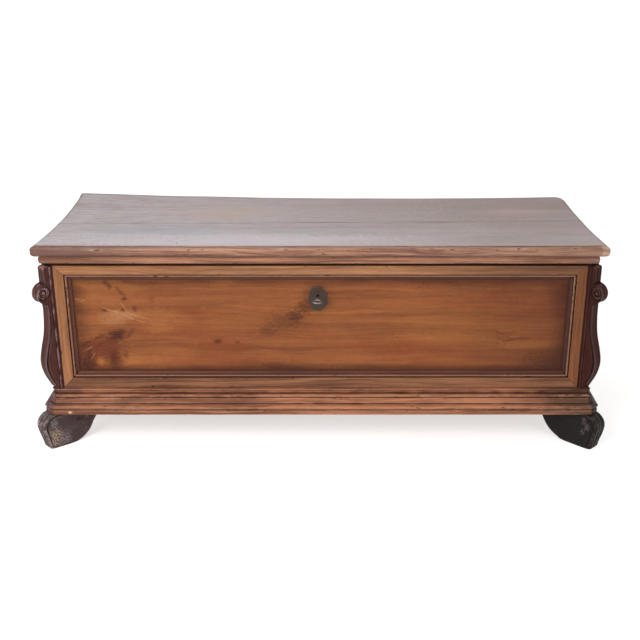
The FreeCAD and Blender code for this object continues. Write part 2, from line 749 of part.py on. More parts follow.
def build():
    """Every piece of the chest, by name."""
    pieces = {}
    pieces.update(carcase())
    pieces.update(front_frame())
    pieces.update(side_frames())
    pieces.update(base_mouldings())
    pieces.update(lid_planks())
    pieces.update(lid_skirt())
    for side, name in ((-1, "left"), (1, "right")):
        pieces[name + "_corner_strip"] = corner_strip(side)
        pieces[name + "_scroll_bracket"] = bracket(side)
        pieces[name + "_front_foot"] = front_foot(side)
        pieces[name + "_rear_foot"] = rear_foot(side)
    for x, name in zip(hinge_places(), ("left", "right")):
        pieces[name + "_lid_strap"] = lid_strap(x)
        pieces[name + "_case_strap"] = case_strap(x)
        pieces[name + "_hinge_pin"] = hinge_pin(x)
    pieces["escutcheon"] = escutcheon()
    pieces["lock_case"] = lock_case()
    pieces["lock_bolt"] = lock_bolt()
    pieces["lid_staple"] = lid_staple()
    pieces["key"] = key()
    return pieces


os.makedirs("parts", exist_ok=True)
solids = build()
for node_name, solid in solids.items():
    save(node_name, solid)
whole = Part.makeCompound(list(solids.values())).BoundBox
print("pieces", len(solids))
print("size", round(whole.XLength, 1), round(whole.YLength, 1), round(whole.ZLength, 1))
print("middle", round(whole.Center.x, 2), round(whole.Center.y, 2), "floor", round(whole.ZMin, 2))
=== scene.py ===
"""Looks of an old walnut chest with a framed front, moulded base, scroll brackets and a cupped lid.

Everything is in metres: X runs along the front, Y to the back and Z up, with the floor at zero.
"""

import math

import bmesh
import bpy
import numpy as np
from bpy.props import FloatProperty, FloatVectorProperty, PointerProperty
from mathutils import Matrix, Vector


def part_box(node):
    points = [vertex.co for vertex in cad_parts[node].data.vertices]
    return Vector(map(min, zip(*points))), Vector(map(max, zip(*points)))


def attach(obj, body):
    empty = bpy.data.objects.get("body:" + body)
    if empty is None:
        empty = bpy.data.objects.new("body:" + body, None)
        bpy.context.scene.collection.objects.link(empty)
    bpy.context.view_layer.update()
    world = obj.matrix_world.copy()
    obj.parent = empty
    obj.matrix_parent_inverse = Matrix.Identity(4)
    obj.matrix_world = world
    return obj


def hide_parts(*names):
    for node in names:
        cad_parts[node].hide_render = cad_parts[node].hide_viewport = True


bl_info = {
    "name": "Walnut chest",
    "version": (1, 0, 0),
    "blender": (4, 5, 0),
    "location": "3D View > Sidebar > Chest",
    "description": "Mouldings, carving, wood and iron of an old walnut chest",
    "category": "Object",
}

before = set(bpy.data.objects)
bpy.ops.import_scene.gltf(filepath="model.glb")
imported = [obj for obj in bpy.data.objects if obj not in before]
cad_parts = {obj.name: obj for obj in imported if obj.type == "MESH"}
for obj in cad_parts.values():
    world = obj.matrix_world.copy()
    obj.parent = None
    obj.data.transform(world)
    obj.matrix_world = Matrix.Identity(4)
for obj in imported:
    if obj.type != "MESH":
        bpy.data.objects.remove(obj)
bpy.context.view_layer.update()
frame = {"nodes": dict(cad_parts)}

# Places read from the frame
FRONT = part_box("front_top_rail")[0].y
PANEL_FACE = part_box("front_top_rail")[1].y
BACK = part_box("upper_back_plank")[1].y
BASE_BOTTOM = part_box("front_base_moulding")[0].z
BASE_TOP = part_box("front_base_moulding")[1].z
FRAME_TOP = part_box("front_top_rail")[1].z
RAIL_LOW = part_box("front_bottom_rail")[1].z
RAIL_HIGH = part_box("front_top_rail")[0].z
SIGHT_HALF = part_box("front_panel_moulding_top")[1].x
STILE_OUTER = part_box("front_top_rail")[1].x
CASE_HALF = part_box("right_side_top_rail")[1].x
SIDE_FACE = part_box("right_side_top_rail")[0].x
SKIRT_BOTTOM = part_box("lid_front_skirt")[0].z
SKIRT_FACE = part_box("lid_front_skirt")[1].x
LID_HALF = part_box("lid_rear_plank")[1].x
LID_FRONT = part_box("lid_front_plank")[0].y
PLATE_LOW, PLATE_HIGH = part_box("escutcheon")
KEY_LOW, KEY_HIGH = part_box("key")

# Sizes that several pieces share
CORNER_CUT = CASE_HALF - STILE_OUTER
STRIP_THICKNESS = PANEL_FACE - FRONT
STRIP_WIDTH = STILE_OUTER - SIGHT_HALF
MOULDING_WIDTH = 0.017
BASE_REACH = 0.032
# By side: how far the base's corner is cut, how deep its wedge goes and how much further out it stands
BASE_CORNERS = {-1: (0.008, 0.0094, 0.0), 1: (0.002, 0.0022, 0.003)}
CORNER_STRIP = 0.010
SKIRT_THICKNESS = 0.013
SKIRT_HEIGHT = 0.0255
MITRE_GAP = 0.00012
DIAGONAL = math.sqrt(0.5)
TURN = 2.0 * math.pi
UP = np.array((0.0, 0.0, 1.0))
SIDES = ((-1, "left_"), (1, "right_"))

# Sections and outlines in shares of a width and a height. In a move, one point is the end of a line,
# two are an arc through the first, and more are a smooth curve.
PANEL_MOULDING_SHARES = [[(0.0, 0.55)], [(0.12, 0.55)], [(0.12, 0.70)], [(0.29, 0.90), (0.46, 0.70)],
                         [(0.46, 0.52)], [(0.62, 0.27), (0.88, 0.19)], [(1.0, 0.19)], [(1.0, 0.0)]]
BASE_SHARES = [[(0.94, 0.0)], [(0.94, 0.175)], [(0.78, 0.20)], [(1.0, 0.29), (0.74, 0.378)],
               [(0.53, 0.398)], [(0.43, 0.48), (0.34, 0.598)], [(0.22, 0.618)],
               [(0.38, 0.69), (0.20, 0.748)], [(0.09, 0.768)], [(0.12, 0.86), (0.24, 0.925)],
               [(0.25, 0.95)], [(0.02, 0.972)], [(0.0, 1.0)]]
BRACKET_SHARES = [[(0.19, 0.0)],
                  [(0.755, 0.122), (0.952, 0.228), (0.784, 0.328), (0.448, 0.453), (0.307, 0.580),
                   (0.28, 0.710)],
                  [(1.0, 0.789), (0.28, 0.867)], [(0.28, 0.978)], [(0.24, 0.995), (0.16, 1.0)],
                  [(0.0, 1.0)]]
NOSE_SHARES = [[(0.51, 1.0)], [(0.86, 0.90), (1.0, 0.63)], [(0.805, 0.12)], [(0.76, 0.03), (0.645, 0.0)]]
LEFT_HEEL_SHARES = [[(-0.154, 0.0)], [(-0.450, 0.150), (-0.630, 0.43)], [(-1.010, 1.0)]]
RIGHT_HEEL_SHARES = [[(-0.154, 0.0)], [(-0.538, 0.136), (-0.82, 0.50)], [(-1.08, 1.0)]]
REAR_FOOT_SHARES = [[(0.45, 0.0)], [(0.725, 0.142), (0.867, 0.50)], [(1.0, 1.0)], [(0.0, 1.0)]]
LID_EDGE_SHARES = [[(0.36, 0.10), (0.0, 0.40)], [(0.0, 0.48)], [(0.07, 0.52)], [(0.0, 0.56)],
                   [(0.0, 0.66)], [(0.10, 0.78), (0.34, 0.88)], [(0.80, 0.93)], [(0.90, 0.90)],
                   [(1.0, 1.0)]]
SKIRT_SHARES = [[(0.80, 0.0)], [(1.06, 0.04), (1.16, 0.18)], [(1.24, 0.50), (1.18, 0.84)], [(1.0, 0.95)],
                [(1.0, 1.0)]]
PLATE_SHARES = [(0.32, -1.0), (1.0, -0.44), (1.0, 0.42), (0.41, 1.0), (-0.46, 0.99), (-0.87, 0.42),
                (-0.93, -0.16), (-0.39, -0.96)]


def srgb(red, green, blue):
    """A colour as a screen shows it, 0 to 255, in linear light."""
    values = np.array((red, green, blue)) / 255.0
    linear = np.where(values <= 0.04045, values / 12.92, ((values + 0.055) / 1.055) ** 2.4)
    return tuple(float(value) for value in linear)


# Shader expressions

class Wire:
    """One output of a shader graph; sums and products of wires add the Math nodes that work them out."""

    def __init__(self, board, socket):
        self.board = board
        self.socket = socket

    def math(self, operation, first, second=0.0):
        return self.board.node("ShaderNodeMath", {"operation": operation}, {0: first, 1: second})

    def __add__(self, other):
        return self.math("ADD", self, other)

    __radd__ = __add__

    def __sub__(self, other):
        return self.math("SUBTRACT", self, other)

    def __rsub__(self, other):
        return self.math("SUBTRACT", other, self)

    def __mul__(self, other):
        return self.math("MULTIPLY", self, other)

    __rmul__ = __mul__

    def sine(self):
        return self.math("SINE", self)

    def size(self):
        return self.math("ABSOLUTE", self)

    def most(self, other):
        return self.math("MAXIMUM", self, other)

    def between(self, low, high):
        """0 at one value and 1 at the other, with a smooth change between."""
        limits = {"Value": self, "From Min": low, "From Max": high}
        return self.board.node("ShaderNodeMapRange", {"interpolation_type": "SMOOTHSTEP"}, limits)


class Board:
    """The shader of a material or world under construction, with short ways to write its nodes."""

    def __init__(self, owner):
        owner.use_nodes = True
        self.owner = owner
        self.tree = owner.node_tree
        self.tree.nodes.clear()
        self.rough = None

    def node(self, kind, settings=None, inputs=None, output=0):
        """Any node: its settings first, then the values or wires of its sockets."""
        made = self.tree.nodes.new(kind)
        for key, value in (settings or {}).items():
            if key == "stops":
                ramp = made.color_ramp.elements
                while len(ramp) < len(value):
                    ramp.new(1.0)
                for stop, (position, colour) in zip(ramp, value):
                    stop.position = position
                    stop.color = (*colour, 1.0)
            else:
                setattr(made, key, value)
        for key, value in (inputs or {}).items():
            if isinstance(value, Wire):
                self.tree.links.new(value.socket, made.inputs[key])
            else:
                made.inputs[key].default_value = value
        return None if output is None else Wire(self, made.outputs[output])

    def vector(self, operation, first, second=(0.0, 0.0, 0.0), output=0):
        return self.node("ShaderNodeVectorMath", {"operation": operation}, {0: first, 1: second}, output)

    def measure(self, place, direction):
        """How far a place lies in a direction."""
        return self.vector("DOT_PRODUCT", place, direction, 1)

    def noise(self, place, grains, detail=2.0, roughness=0.5):
        """Noise from 0 to 1, or nearly, with so many grains to the metre along X, Y and Z."""
        values = {"Vector": self.vector("MULTIPLY", place, grains), "Scale": 1.0, "Detail": detail,
                  "Roughness": roughness}
        return self.node("ShaderNodeTexNoise", None, values)

    def place(self):
        return self.node("ShaderNodeTexCoord", None, None, 3)

    def ragged(self):
        """Fine noise about zero, made once, that breaks up the edges of marks."""
        if self.rough is None:
            self.rough = self.noise(self.place(), (80.0, 110.0, 170.0), 4.0, 0.65) - 0.5
        return self.rough

    def hollow(self):
        """Millimetres that a point of a piece lies below its surroundings; under zero on an arris."""
        return self.node("ShaderNodeAttribute", {"attribute_name": "hollow"}, None, 2)

    def joined(self, first, second, third):
        return self.node("ShaderNodeCombineXYZ", None, {0: first, 1: second, 2: third})

    def mix(self, factor, first, second):
        """Colours mixed by a factor; a plain triple is a fixed colour."""
        ends = [(*value, 1.0) if isinstance(value, tuple) else value for value in (first, second)]
        settings = {"data_type": "RGBA", "blend_type": "MIX", "clamp_factor": True}
        return self.node("ShaderNodeMix", settings, {0: factor, 6: ends[0], 7: ends[1]}, 2)

    def ramp(self, factor, stops):
        return self.node("ShaderNodeValToRGB", {"stops": stops}, {0: factor})

    def finish(self, colour, roughness, height, relief, constants=None):
        """Join colour, roughness and a height field in units of the relief, in metres, to the surface."""
        normal = self.node("ShaderNodeBump", None, {"Height": height, "Distance": relief})
        values = {"Base Color": colour, "Roughness": roughness, "Normal": normal}
        values.update(constants or {})
        shader = self.node("ShaderNodeBsdfPrincipled", None, values)
        self.node("ShaderNodeOutputMaterial", None, {"Surface": shader}, None)
        return self.owner


# Wood

# Directions of the grain, across it and into the wood
X_WAY, Y_WAY, Z_WAY = (1.0, 0.0, 0.0), (0.0, 1.0, 0.0), (0.0, 0.0, 1.0)
ALONG_X = (X_WAY, Z_WAY, Y_WAY)
ALONG_X_LYING = (X_WAY, Y_WAY, Z_WAY)
ALONG_Y = (Y_WAY, Z_WAY, X_WAY)
ALONG_Z = (Z_WAY, X_WAY, Y_WAY)
ALONG_Z_SIDE = (Z_WAY, Y_WAY, X_WAY)
SLANTED = ((DIAGONAL, DIAGONAL, 0.0), Z_WAY, (DIAGONAL, -DIAGONAL, 0.0))


def sawn(board, directions, shift):
    """Place in the wood of a piece: along the grain, across it and into it, moved on to a fresh part."""
    place = board.place()
    turned = [board.measure(place, direction) for direction in directions]
    return board.joined(turned[0] + shift * 1.73, turned[1] + shift * 0.61, turned[2] + shift * 0.37)


def figure(board, place, spacing, swirl=None):
    """Growth rings, fibres, pores, streaks and clouds of walnut, each from 0 to 1.

    The rings are a sine of the distance across the grain, bent by slow noise and by any knots.
    """
    drift = board.noise(place, (1.4, 7.0, 7.0), 3.0, 0.55) - 0.5
    across = board.measure(place, (0.0, 1.0, 0.55))
    course = across + drift * 0.075
    if swirl is not None:
        course = course + swirl
    along = board.measure(place, X_WAY)
    into = board.measure(place, Z_WAY)
    moved = board.joined(along, course, into)
    return {
        "rings": (course * (TURN / spacing)).sine() * 0.5 + 0.5,
        "late": (course * (TURN / (spacing * 3.7)) + 1.1).sine() * 0.5 + 0.5,
        "fibres": board.noise(moved, (9.0, 420.0, 420.0), 3.0, 0.65),
        "streaks": board.noise(moved, (1.8, 60.0, 60.0), 4.0, 0.6),
        "bands": board.noise(moved, (4.5, 170.0, 170.0), 3.0, 0.6),
        "clouds": board.noise(place, (3.0, 9.0, 9.0), 4.0, 0.6),
        "pores": board.noise(moved, (45.0, 950.0, 950.0), 1.0).between(0.62, 0.72),
    }


# Weight of each part of the figure in how light the wood is, and half of their sum
FIGURE_WEIGHTS = {"rings": 0.08, "late": 0.14, "fibres": 0.45, "streaks": 0.85, "bands": 0.75,
                  "clouds": 1.0}
FIGURE_MIDDLE = 1.635


def tinted(board, grain, tones, contrast=1.0):
    """Colour of a board from its figure: a ramp from its darkest to its lightest tone."""
    first, *others = [grain[part] * weight for part, weight in FIGURE_WEIGHTS.items()]
    share = (sum(others, first) - FIGURE_MIDDLE) * (1.35 * contrast) + 0.5
    colour = board.ramp(share, [(0.0, tones[0]), (0.5, tones[1]), (1.0, tones[2])])
    return board.mix(grain["pores"] * 0.4, colour, tones[0])


def aged(board, colour, place, dirt_colour, wear_colour, wear=1.0, shallow=0.02, bare=0.40):
    """Grime laid in hollows deeper than shallow, and arrises rubbed pale where the patches pass bare."""
    depth = board.hollow()
    patches = board.noise(place, (22.0, 60.0, 60.0), 4.0, 0.65)
    grime = depth.between(shallow, shallow + 0.22) * (patches * 0.6 + 0.62)
    rubbed = depth.between(-0.05, -0.32) * patches.between(bare, bare + 0.20) * wear
    colour = board.mix(rubbed, colour, wear_colour)
    return board.mix(grime, colour, dirt_colour), grime


def spot(board, place, centre, radii, ragged=0.5, core=0.2):
    """A blotch: 1 at its centre and 0 past its radii, with a ragged edge."""
    offset = board.vector("SUBTRACT", place, centre)
    offset = board.vector("MULTIPLY", offset, tuple(1.0 / radius for radius in radii))
    distance = board.vector("LENGTH", offset, output=1)
    return (distance + board.ragged() * (2.0 * ragged)).between(1.0, core)


def stroke(board, place, start, end, width):
    """A ragged mark from one point to another: 1 on the line and 0 a width away."""
    start = np.array(start)
    run = np.array(end) - start
    square = float(run.dot(run))
    offset = board.vector("SUBTRACT", place, tuple(start))
    along = board.measure(offset, tuple(run / square))
    along = board.node("ShaderNodeClamp", None, {"Value": along})
    nearest = board.node("ShaderNodeVectorMath", {"operation": "SCALE"}, {0: tuple(run), 3: along})
    distance = board.vector("DISTANCE", offset, nearest, 1) + board.ragged() * (width * 1.6)
    ends = (along - 0.5).size().between(0.5, 0.20)
    return distance.between(width, 0.0) * ends


def walnut(name, directions, shift, tones, relief=0.00035, polish=0.46, wear=1.0,
           dirt_colour=srgb(34, 14, 7), wear_colour=srgb(182, 132, 104), contrast=1.0,
           smoke=(), bare=0.40, gloss=0.26, spots_and_highlights=()):
    """Waxed old walnut for one piece or a group cut alike.

    A row of smoke holds the ends of a change of tone along X, its strength and its tint; most such changes
    are painted shade or painted light.
    A row of spots holds the centre, radii and tint of a chip, a blotch or a painted highlight.
    """
    board = Board(bpy.data.materials.new(name))
    place = sawn(board, directions, shift)
    grain = figure(board, place, 0.012)
    colour = tinted(board, grain, tones, contrast)
    across = board.measure(board.place(), X_WAY)
    for start, end, strength, tint in smoke:
        patch = (across + (grain["clouds"] - 0.5) * 0.5).between(start, end)
        colour = board.mix(patch * strength, colour, tint)
    for centre, radii, tint in spots_and_highlights:
        colour = board.mix(spot(board, board.place(), centre, radii) * 0.9, colour, tint)
    colour, grime = aged(board, colour, place, dirt_colour, wear_colour, wear, bare=bare)
    roughness = grain["clouds"] * 0.16 + grain["fibres"] * 0.10 + grime * 0.30 + (polish - 0.12)
    lumps = board.noise(place, (28.0, 55.0, 55.0), 3.0)
    height = grain["fibres"] * 0.5 + grain["streaks"] * 0.5 - grain["pores"] * 0.7 + lumps * 1.6
    return board.finish(colour, roughness, height, relief, {"Specular IOR Level": gloss})


PANEL_TINTS = {"dark": srgb(66, 28, 16), "smoke": srgb(76, 38, 22), "red": srgb(124, 54, 30),
               "gold": srgb(186, 118, 60), "tan": srgb(196, 142, 96), "black": srgb(38, 20, 20)}
# Knots of the front board: heart, radii, strength and ring spacing
PANEL_KNOTS = [
    ((-0.640, 0.0, 0.262), (0.105, 1.0, 0.100), 1.0, 0.0105),
    ((-0.296, 0.0, 0.321), (0.030, 1.0, 0.016), 0.7, 0.0060),
    ((-0.553, 0.0, 0.447), (0.026, 1.0, 0.013), 0.6, 0.0050),
    ((0.540, 0.0, 0.338), (0.075, 1.0, 0.024), 0.25, 0.0100),
]
# Its stains: tint, strength, raggedness, then place and radii along X and Z
PANEL_STAINS = [
    ("gold", 0.30, 0.8, -0.480, 0.400, 0.100, 0.030),
    ("tan", 0.40, 0.6, -0.569, 0.404, 0.075, 0.022),
    ("tan", 0.30, 0.7, -0.593, 0.384, 0.065, 0.020),
    ("gold", 0.30, 0.7, -0.459, 0.360, 0.070, 0.022),
    ("dark", 0.90, 0.7, -0.587, 0.339, 0.038, 0.024),
    ("dark", 0.60, 0.6, -0.574, 0.352, 0.022, 0.012),
    ("dark", 0.55, 0.6, -0.604, 0.330, 0.030, 0.014),
    ("smoke", 0.60, 0.5, -0.620, 0.300, 0.080, 0.050),
    ("smoke", 0.50, 0.5, -0.600, 0.262, 0.042, 0.040),
    ("dark", 0.65, 0.6, -0.683, 0.245, 0.040, 0.030),
    ("dark", 0.60, 0.6, -0.602, 0.272, 0.014, 0.034),
    ("gold", 0.65, 0.9, -0.641, 0.260, 0.018, 0.016),
    ("dark", 0.60, 0.9, -0.668, 0.262, 0.028, 0.050),
    ("dark", 0.45, 0.9, -0.596, 0.258, 0.024, 0.050),
    ("red", 0.50, 0.9, -0.575, 0.516, 0.040, 0.010),
    ("dark", 0.45, 0.7, -0.564, 0.279, 0.012, 0.020),
    ("dark", 0.60, 0.8, -0.620, 0.228, 0.090, 0.010),
    ("red", 0.50, 0.8, -0.640, 0.300, 0.080, 0.050),
    ("red", 0.60, 0.6, -0.543, 0.503, 0.032, 0.010),
    ("smoke", 0.45, 0.8, -0.500, 0.498, 0.050, 0.012),
    ("dark", 0.70, 0.4, -0.558, 0.452, 0.012, 0.008),
    ("dark", 0.65, 0.4, -0.616, 0.418, 0.013, 0.009),
    ("dark", 0.60, 0.4, -0.564, 0.418, 0.011, 0.008),
    ("dark", 0.55, 0.5, -0.530, 0.422, 0.011, 0.014),
    ("red", 0.40, 0.6, -0.480, 0.452, 0.014, 0.018),
    ("dark", 0.70, 0.6, -0.296, 0.321, 0.015, 0.010),
    ("dark", 0.40, 0.5, -0.240, 0.318, 0.012, 0.006),
    ("smoke", 0.50, 0.85, -0.100, 0.388, 0.075, 0.045),
    ("dark", 0.60, 0.75, -0.070, 0.400, 0.034, 0.030),
    ("dark", 0.60, 0.70, -0.045, 0.425, 0.040, 0.026),
    ("smoke", 0.45, 0.75, -0.150, 0.355, 0.045, 0.022),
    ("smoke", 0.50, 0.8, -0.130, 0.245, 0.080, 0.018),
    ("smoke", 0.30, 0.8, 0.100, 0.240, 0.120, 0.016),
    ("gold", 0.35, 0.8, 0.350, 0.330, 0.200, 0.030),
    ("gold", 0.65, 0.8, 0.600, 0.310, 0.130, 0.018),
    ("black", 0.60, 0.7, 0.670, 0.262, 0.120, 0.060),
    ("black", 0.55, 0.6, 0.690, 0.240, 0.090, 0.040),
    ("smoke", 0.45, 0.7, 0.676, 0.470, 0.060, 0.080),
    ("smoke", 0.35, 0.7, 0.400, 0.505, 0.280, 0.040),
    ("red", 0.30, 0.9, 0.480, 0.440, 0.200, 0.030),
    ("red", 0.25, 0.8, 0.300, 0.300, 0.220, 0.035),
    ("red", 0.30, 0.8, -0.350, 0.250, 0.260, 0.030),
    ("tan", 0.55, 0.4, 0.679, 0.340, 0.004, 0.006),
    ("tan", 0.40, 0.4, 0.668, 0.358, 0.008, 0.003),
]
# Its scratches, cracks and dark flecks: tint, strength, width and both ends along X and Z
PANEL_MARKS = [
    ("dark", 0.65, 0.012, (-0.618, 0.510), (-0.588, 0.480)),
    ("dark", 0.40, 0.010, (-0.586, 0.496), (-0.548, 0.450)),
    ("dark", 0.40, 0.010, (-0.534, 0.370), (-0.560, 0.324)),
    ("dark", 0.55, 0.007, (-0.698, 0.300), (-0.657, 0.328)),
    ("dark", 0.55, 0.007, (-0.662, 0.326), (-0.610, 0.346)),
    ("dark", 0.45, 0.005, (-0.685, 0.270), (-0.662, 0.300)),
    ("dark", 0.40, 0.005, (-0.668, 0.296), (-0.625, 0.318)),
    ("tan", 0.50, 0.003, (-0.692, 0.288), (-0.655, 0.308)),
    ("tan", 0.35, 0.003, (-0.668, 0.262), (-0.652, 0.290)),
    ("tan", 0.85, 0.0030, (-0.705, 0.453), (-0.662, 0.446)),
    ("tan", 0.55, 0.0022, (-0.694, 0.446), (-0.670, 0.441)),
    ("tan", 0.70, 0.0030, (-0.628, 0.427), (-0.566, 0.407)),
    ("tan", 0.65, 0.0030, (-0.573, 0.410), (-0.528, 0.386)),
    ("tan", 0.40, 0.0026, (-0.536, 0.389), (-0.495, 0.380)),
    ("tan", 0.55, 0.0024, (-0.572, 0.448), (-0.551, 0.410)),
    ("tan", 0.50, 0.0024, (-0.558, 0.409), (-0.516, 0.399)),
    ("tan", 0.40, 0.0022, (-0.524, 0.401), (-0.490, 0.390)),
    ("tan", 0.30, 0.0018, (-0.600, 0.438), (-0.575, 0.425)),
    ("tan", 0.30, 0.0014, (-0.200, 0.300), (-0.130, 0.292)),
    ("tan", 0.30, 0.0014, (0.120, 0.420), (0.180, 0.412)),
    ("black", 0.75, 0.0022, (0.522, 0.320), (0.568, 0.331)),
    ("black", 0.65, 0.0020, (0.560, 0.330), (0.612, 0.331)),
    ("black", 0.55, 0.0018, (0.500, 0.353), (0.537, 0.339)),
    ("black", 0.50, 0.0018, (0.530, 0.338), (0.562, 0.353)),
    ("tan", 0.35, 0.0016, (0.500, 0.356), (0.560, 0.356)),
    ("tan", 0.35, 0.0016, (0.540, 0.335), (0.580, 0.338)),
    ("smoke", 0.45, 0.0020, (-0.316, 0.512), (-0.314, 0.478)),
    ("smoke", 0.35, 0.0020, (0.291, 0.508), (0.292, 0.468)),
]


def panel_wood(name, tones):
    """The front board: figured walnut with its knots, stains, scratches and crack, painted shade towards
    its right end and a border of painted shade and dirt.

    Round a knot the grain is pushed apart, and inside it the rings follow the distance from its heart.
    """
    board = Board(bpy.data.materials.new(name))
    here = board.place()
    flat = board.vector("MULTIPLY", here, (1.0, 0.0, 1.0))
    across = board.measure(here, X_WAY)
    heart = board.measure(here, Z_WAY)
    place = sawn(board, ALONG_X, 0.0)
    dark, red, gold = (PANEL_TINTS[tint] for tint in ("dark", "red", "gold"))
    swirl, whorls = None, []
    for centre, radii, strength, spacing in PANEL_KNOTS:
        reach = spot(board, flat, centre, radii, 0.12, 0.0)
        push = (heart - centre[2]) * reach * -0.70
        swirl = push if swirl is None else swirl + push
        offset = board.vector("SUBTRACT", flat, centre)
        offset = board.vector("MULTIPLY", offset, (0.72, 1.0, 1.0))
        bent = board.noise(flat, (16.0, 16.0, 22.0), 4.0, 0.65) * (spacing * 4.0)
        rings = ((board.vector("LENGTH", offset, output=1) + bent) * (TURN / spacing)).sine()
        slant = centre[0] - centre[2]
        beside = (across - heart).between(slant + 0.045, slant - 0.035)
        whorls.append((reach.between(0.05, 0.55), rings.between(-0.3, 1.0) * beside, strength))
    grain = figure(board, place, 0.016, swirl)
    colour = tinted(board, grain, tones, 0.80)
    wide = board.noise(place, (2.2, 7.0, 7.0), 3.0, 0.6)
    mottled = board.noise(flat, (34.0, 34.0, 62.0), 4.0, 0.7)
    colour = board.mix(wide.between(0.50, 0.66) * 0.28, colour, gold)
    colour = board.mix(wide.between(0.46, 0.34) * 0.35, colour, red)
    colour = board.mix(mottled.between(0.54, 0.72) * 0.22, colour, gold)
    colour = board.mix(mottled.between(0.46, 0.30) * 0.30, colour, red)
    for reach, rings, strength in whorls:
        colour = board.mix(reach * strength * 0.30, colour, red)
        colour = board.mix(reach * rings * mottled.between(0.36, 0.58) * (strength * 0.85), colour, dark)
    for tint, strength, ragged, x, z, wide_reach, high_reach in PANEL_STAINS:
        stain = spot(board, flat, (x, 0.0, z), (wide_reach, 1.0, high_reach), ragged)
        colour = board.mix(stain * strength, colour, PANEL_TINTS[tint])
    # Painted shade: the board darkens towards its right end.
    colour = board.mix(across.between(0.20, 0.76) * 0.60, colour, srgb(84, 38, 18))
    for tint, strength, width, start, end in PANEL_MARKS:
        mark = stroke(board, flat, (start[0], 0.0, start[1]), (end[0], 0.0, end[1]), width)
        colour = board.mix(mark * strength, colour, PANEL_TINTS[tint])
    # Painted shade with dirt: a darker band round the panel under the moulding, with a dark joint line at
    # its very edge.
    side = across.size().between(SIGHT_HALF - 0.075, SIGHT_HALF - 0.018)
    high = heart.between(RAIL_HIGH - 0.050, RAIL_HIGH - 0.019)
    low = heart.between(RAIL_LOW + 0.042, RAIL_LOW + 0.021)
    patches = board.noise(place, (9.0, 30.0, 30.0), 3.0) * 0.9 + 0.15
    edge = (across.size().between(SIGHT_HALF - 0.026, SIGHT_HALF - 0.022)
            .most(heart.between(RAIL_HIGH - 0.022, RAIL_HIGH - 0.019))
            .most(heart.between(RAIL_LOW + 0.024, RAIL_LOW + 0.020)))
    border = (side.most(high).most(low) * patches).most(edge * 0.75)
    colour = board.mix(border, colour, srgb(62, 27, 17))
    plate = spot(board, flat, (-0.008, 0.0, 0.452), (0.060, 1.0, 0.062), 0.45, 0.35)
    colour = board.mix(plate * 0.45, colour, dark)
    roughness = grain["clouds"] * 0.18 + grain["fibres"] * 0.10 + border * 0.15 + 0.34
    lumps = board.noise(place, (6.0, 16.0, 16.0), 3.0)
    height = grain["fibres"] * 0.4 + grain["streaks"] * 0.5 - grain["pores"] * 0.6 + lumps * 4.0 + mottled
    return board.finish(colour, roughness, height, 0.0003, {"Specular IOR Level": 0.20})


# Stains of the lid, the first a broad pale painted reflection on its front left: place and radii along X
# and Y, strength and tint
LID_STAINS_AND_SHEEN = [
    (-0.250, -0.230, 0.75, 0.14, 0.60, srgb(214, 202, 208)),
    (0.620, 0.200, 0.42, 0.26, 0.72, srgb(104, 72, 60)),
    (0.700, -0.050, 0.30, 0.22, 0.35, srgb(108, 78, 70)),
    (-0.290, 0.120, 0.24, 0.12, 0.50, srgb(176, 136, 112)),
    (0.600, 0.130, 0.16, 0.08, 0.45, srgb(168, 112, 100)),
    (0.350, 0.020, 0.50, 0.14, 0.30, srgb(110, 84, 66)),
    (0.150, 0.200, 0.40, 0.10, 0.35, srgb(122, 94, 72)),
    (-0.480, -0.090, 0.26, 0.08, 0.45, srgb(134, 142, 158)),
    (0.000, -0.100, 0.34, 0.05, 0.40, srgb(140, 136, 132)),
    (-0.020, -0.060, 0.32, 0.016, 0.40, srgb(108, 88, 70)),
    (0.180, -0.240, 0.30, 0.05, 0.30, srgb(172, 140, 138)),
    (0.520, -0.210, 0.25, 0.08, 0.35, srgb(116, 86, 78)),
    (-0.550, 0.000, 0.05, 0.03, 0.35, srgb(104, 84, 84)),
    (-0.340, 0.010, 0.06, 0.02, 0.30, srgb(104, 84, 84)),
    (0.420, 0.130, 0.05, 0.02, 0.30, srgb(92, 70, 62)),
]
# Its checks: both ends along X and Y, and width
LID_CHECKS = [
    ((-0.402, -0.235), (-0.360, -0.205), 0.0026),
    ((-0.402, -0.235), (-0.440, -0.206), 0.0022),
    ((-0.402, -0.235), (-0.398, -0.268), 0.0022),
    ((0.090, 0.120), (0.300, 0.132), 0.0016),
    ((-0.740, 0.050), (-0.560, 0.062), 0.0016),
    ((0.440, -0.180), (0.620, -0.170), 0.0015),
]


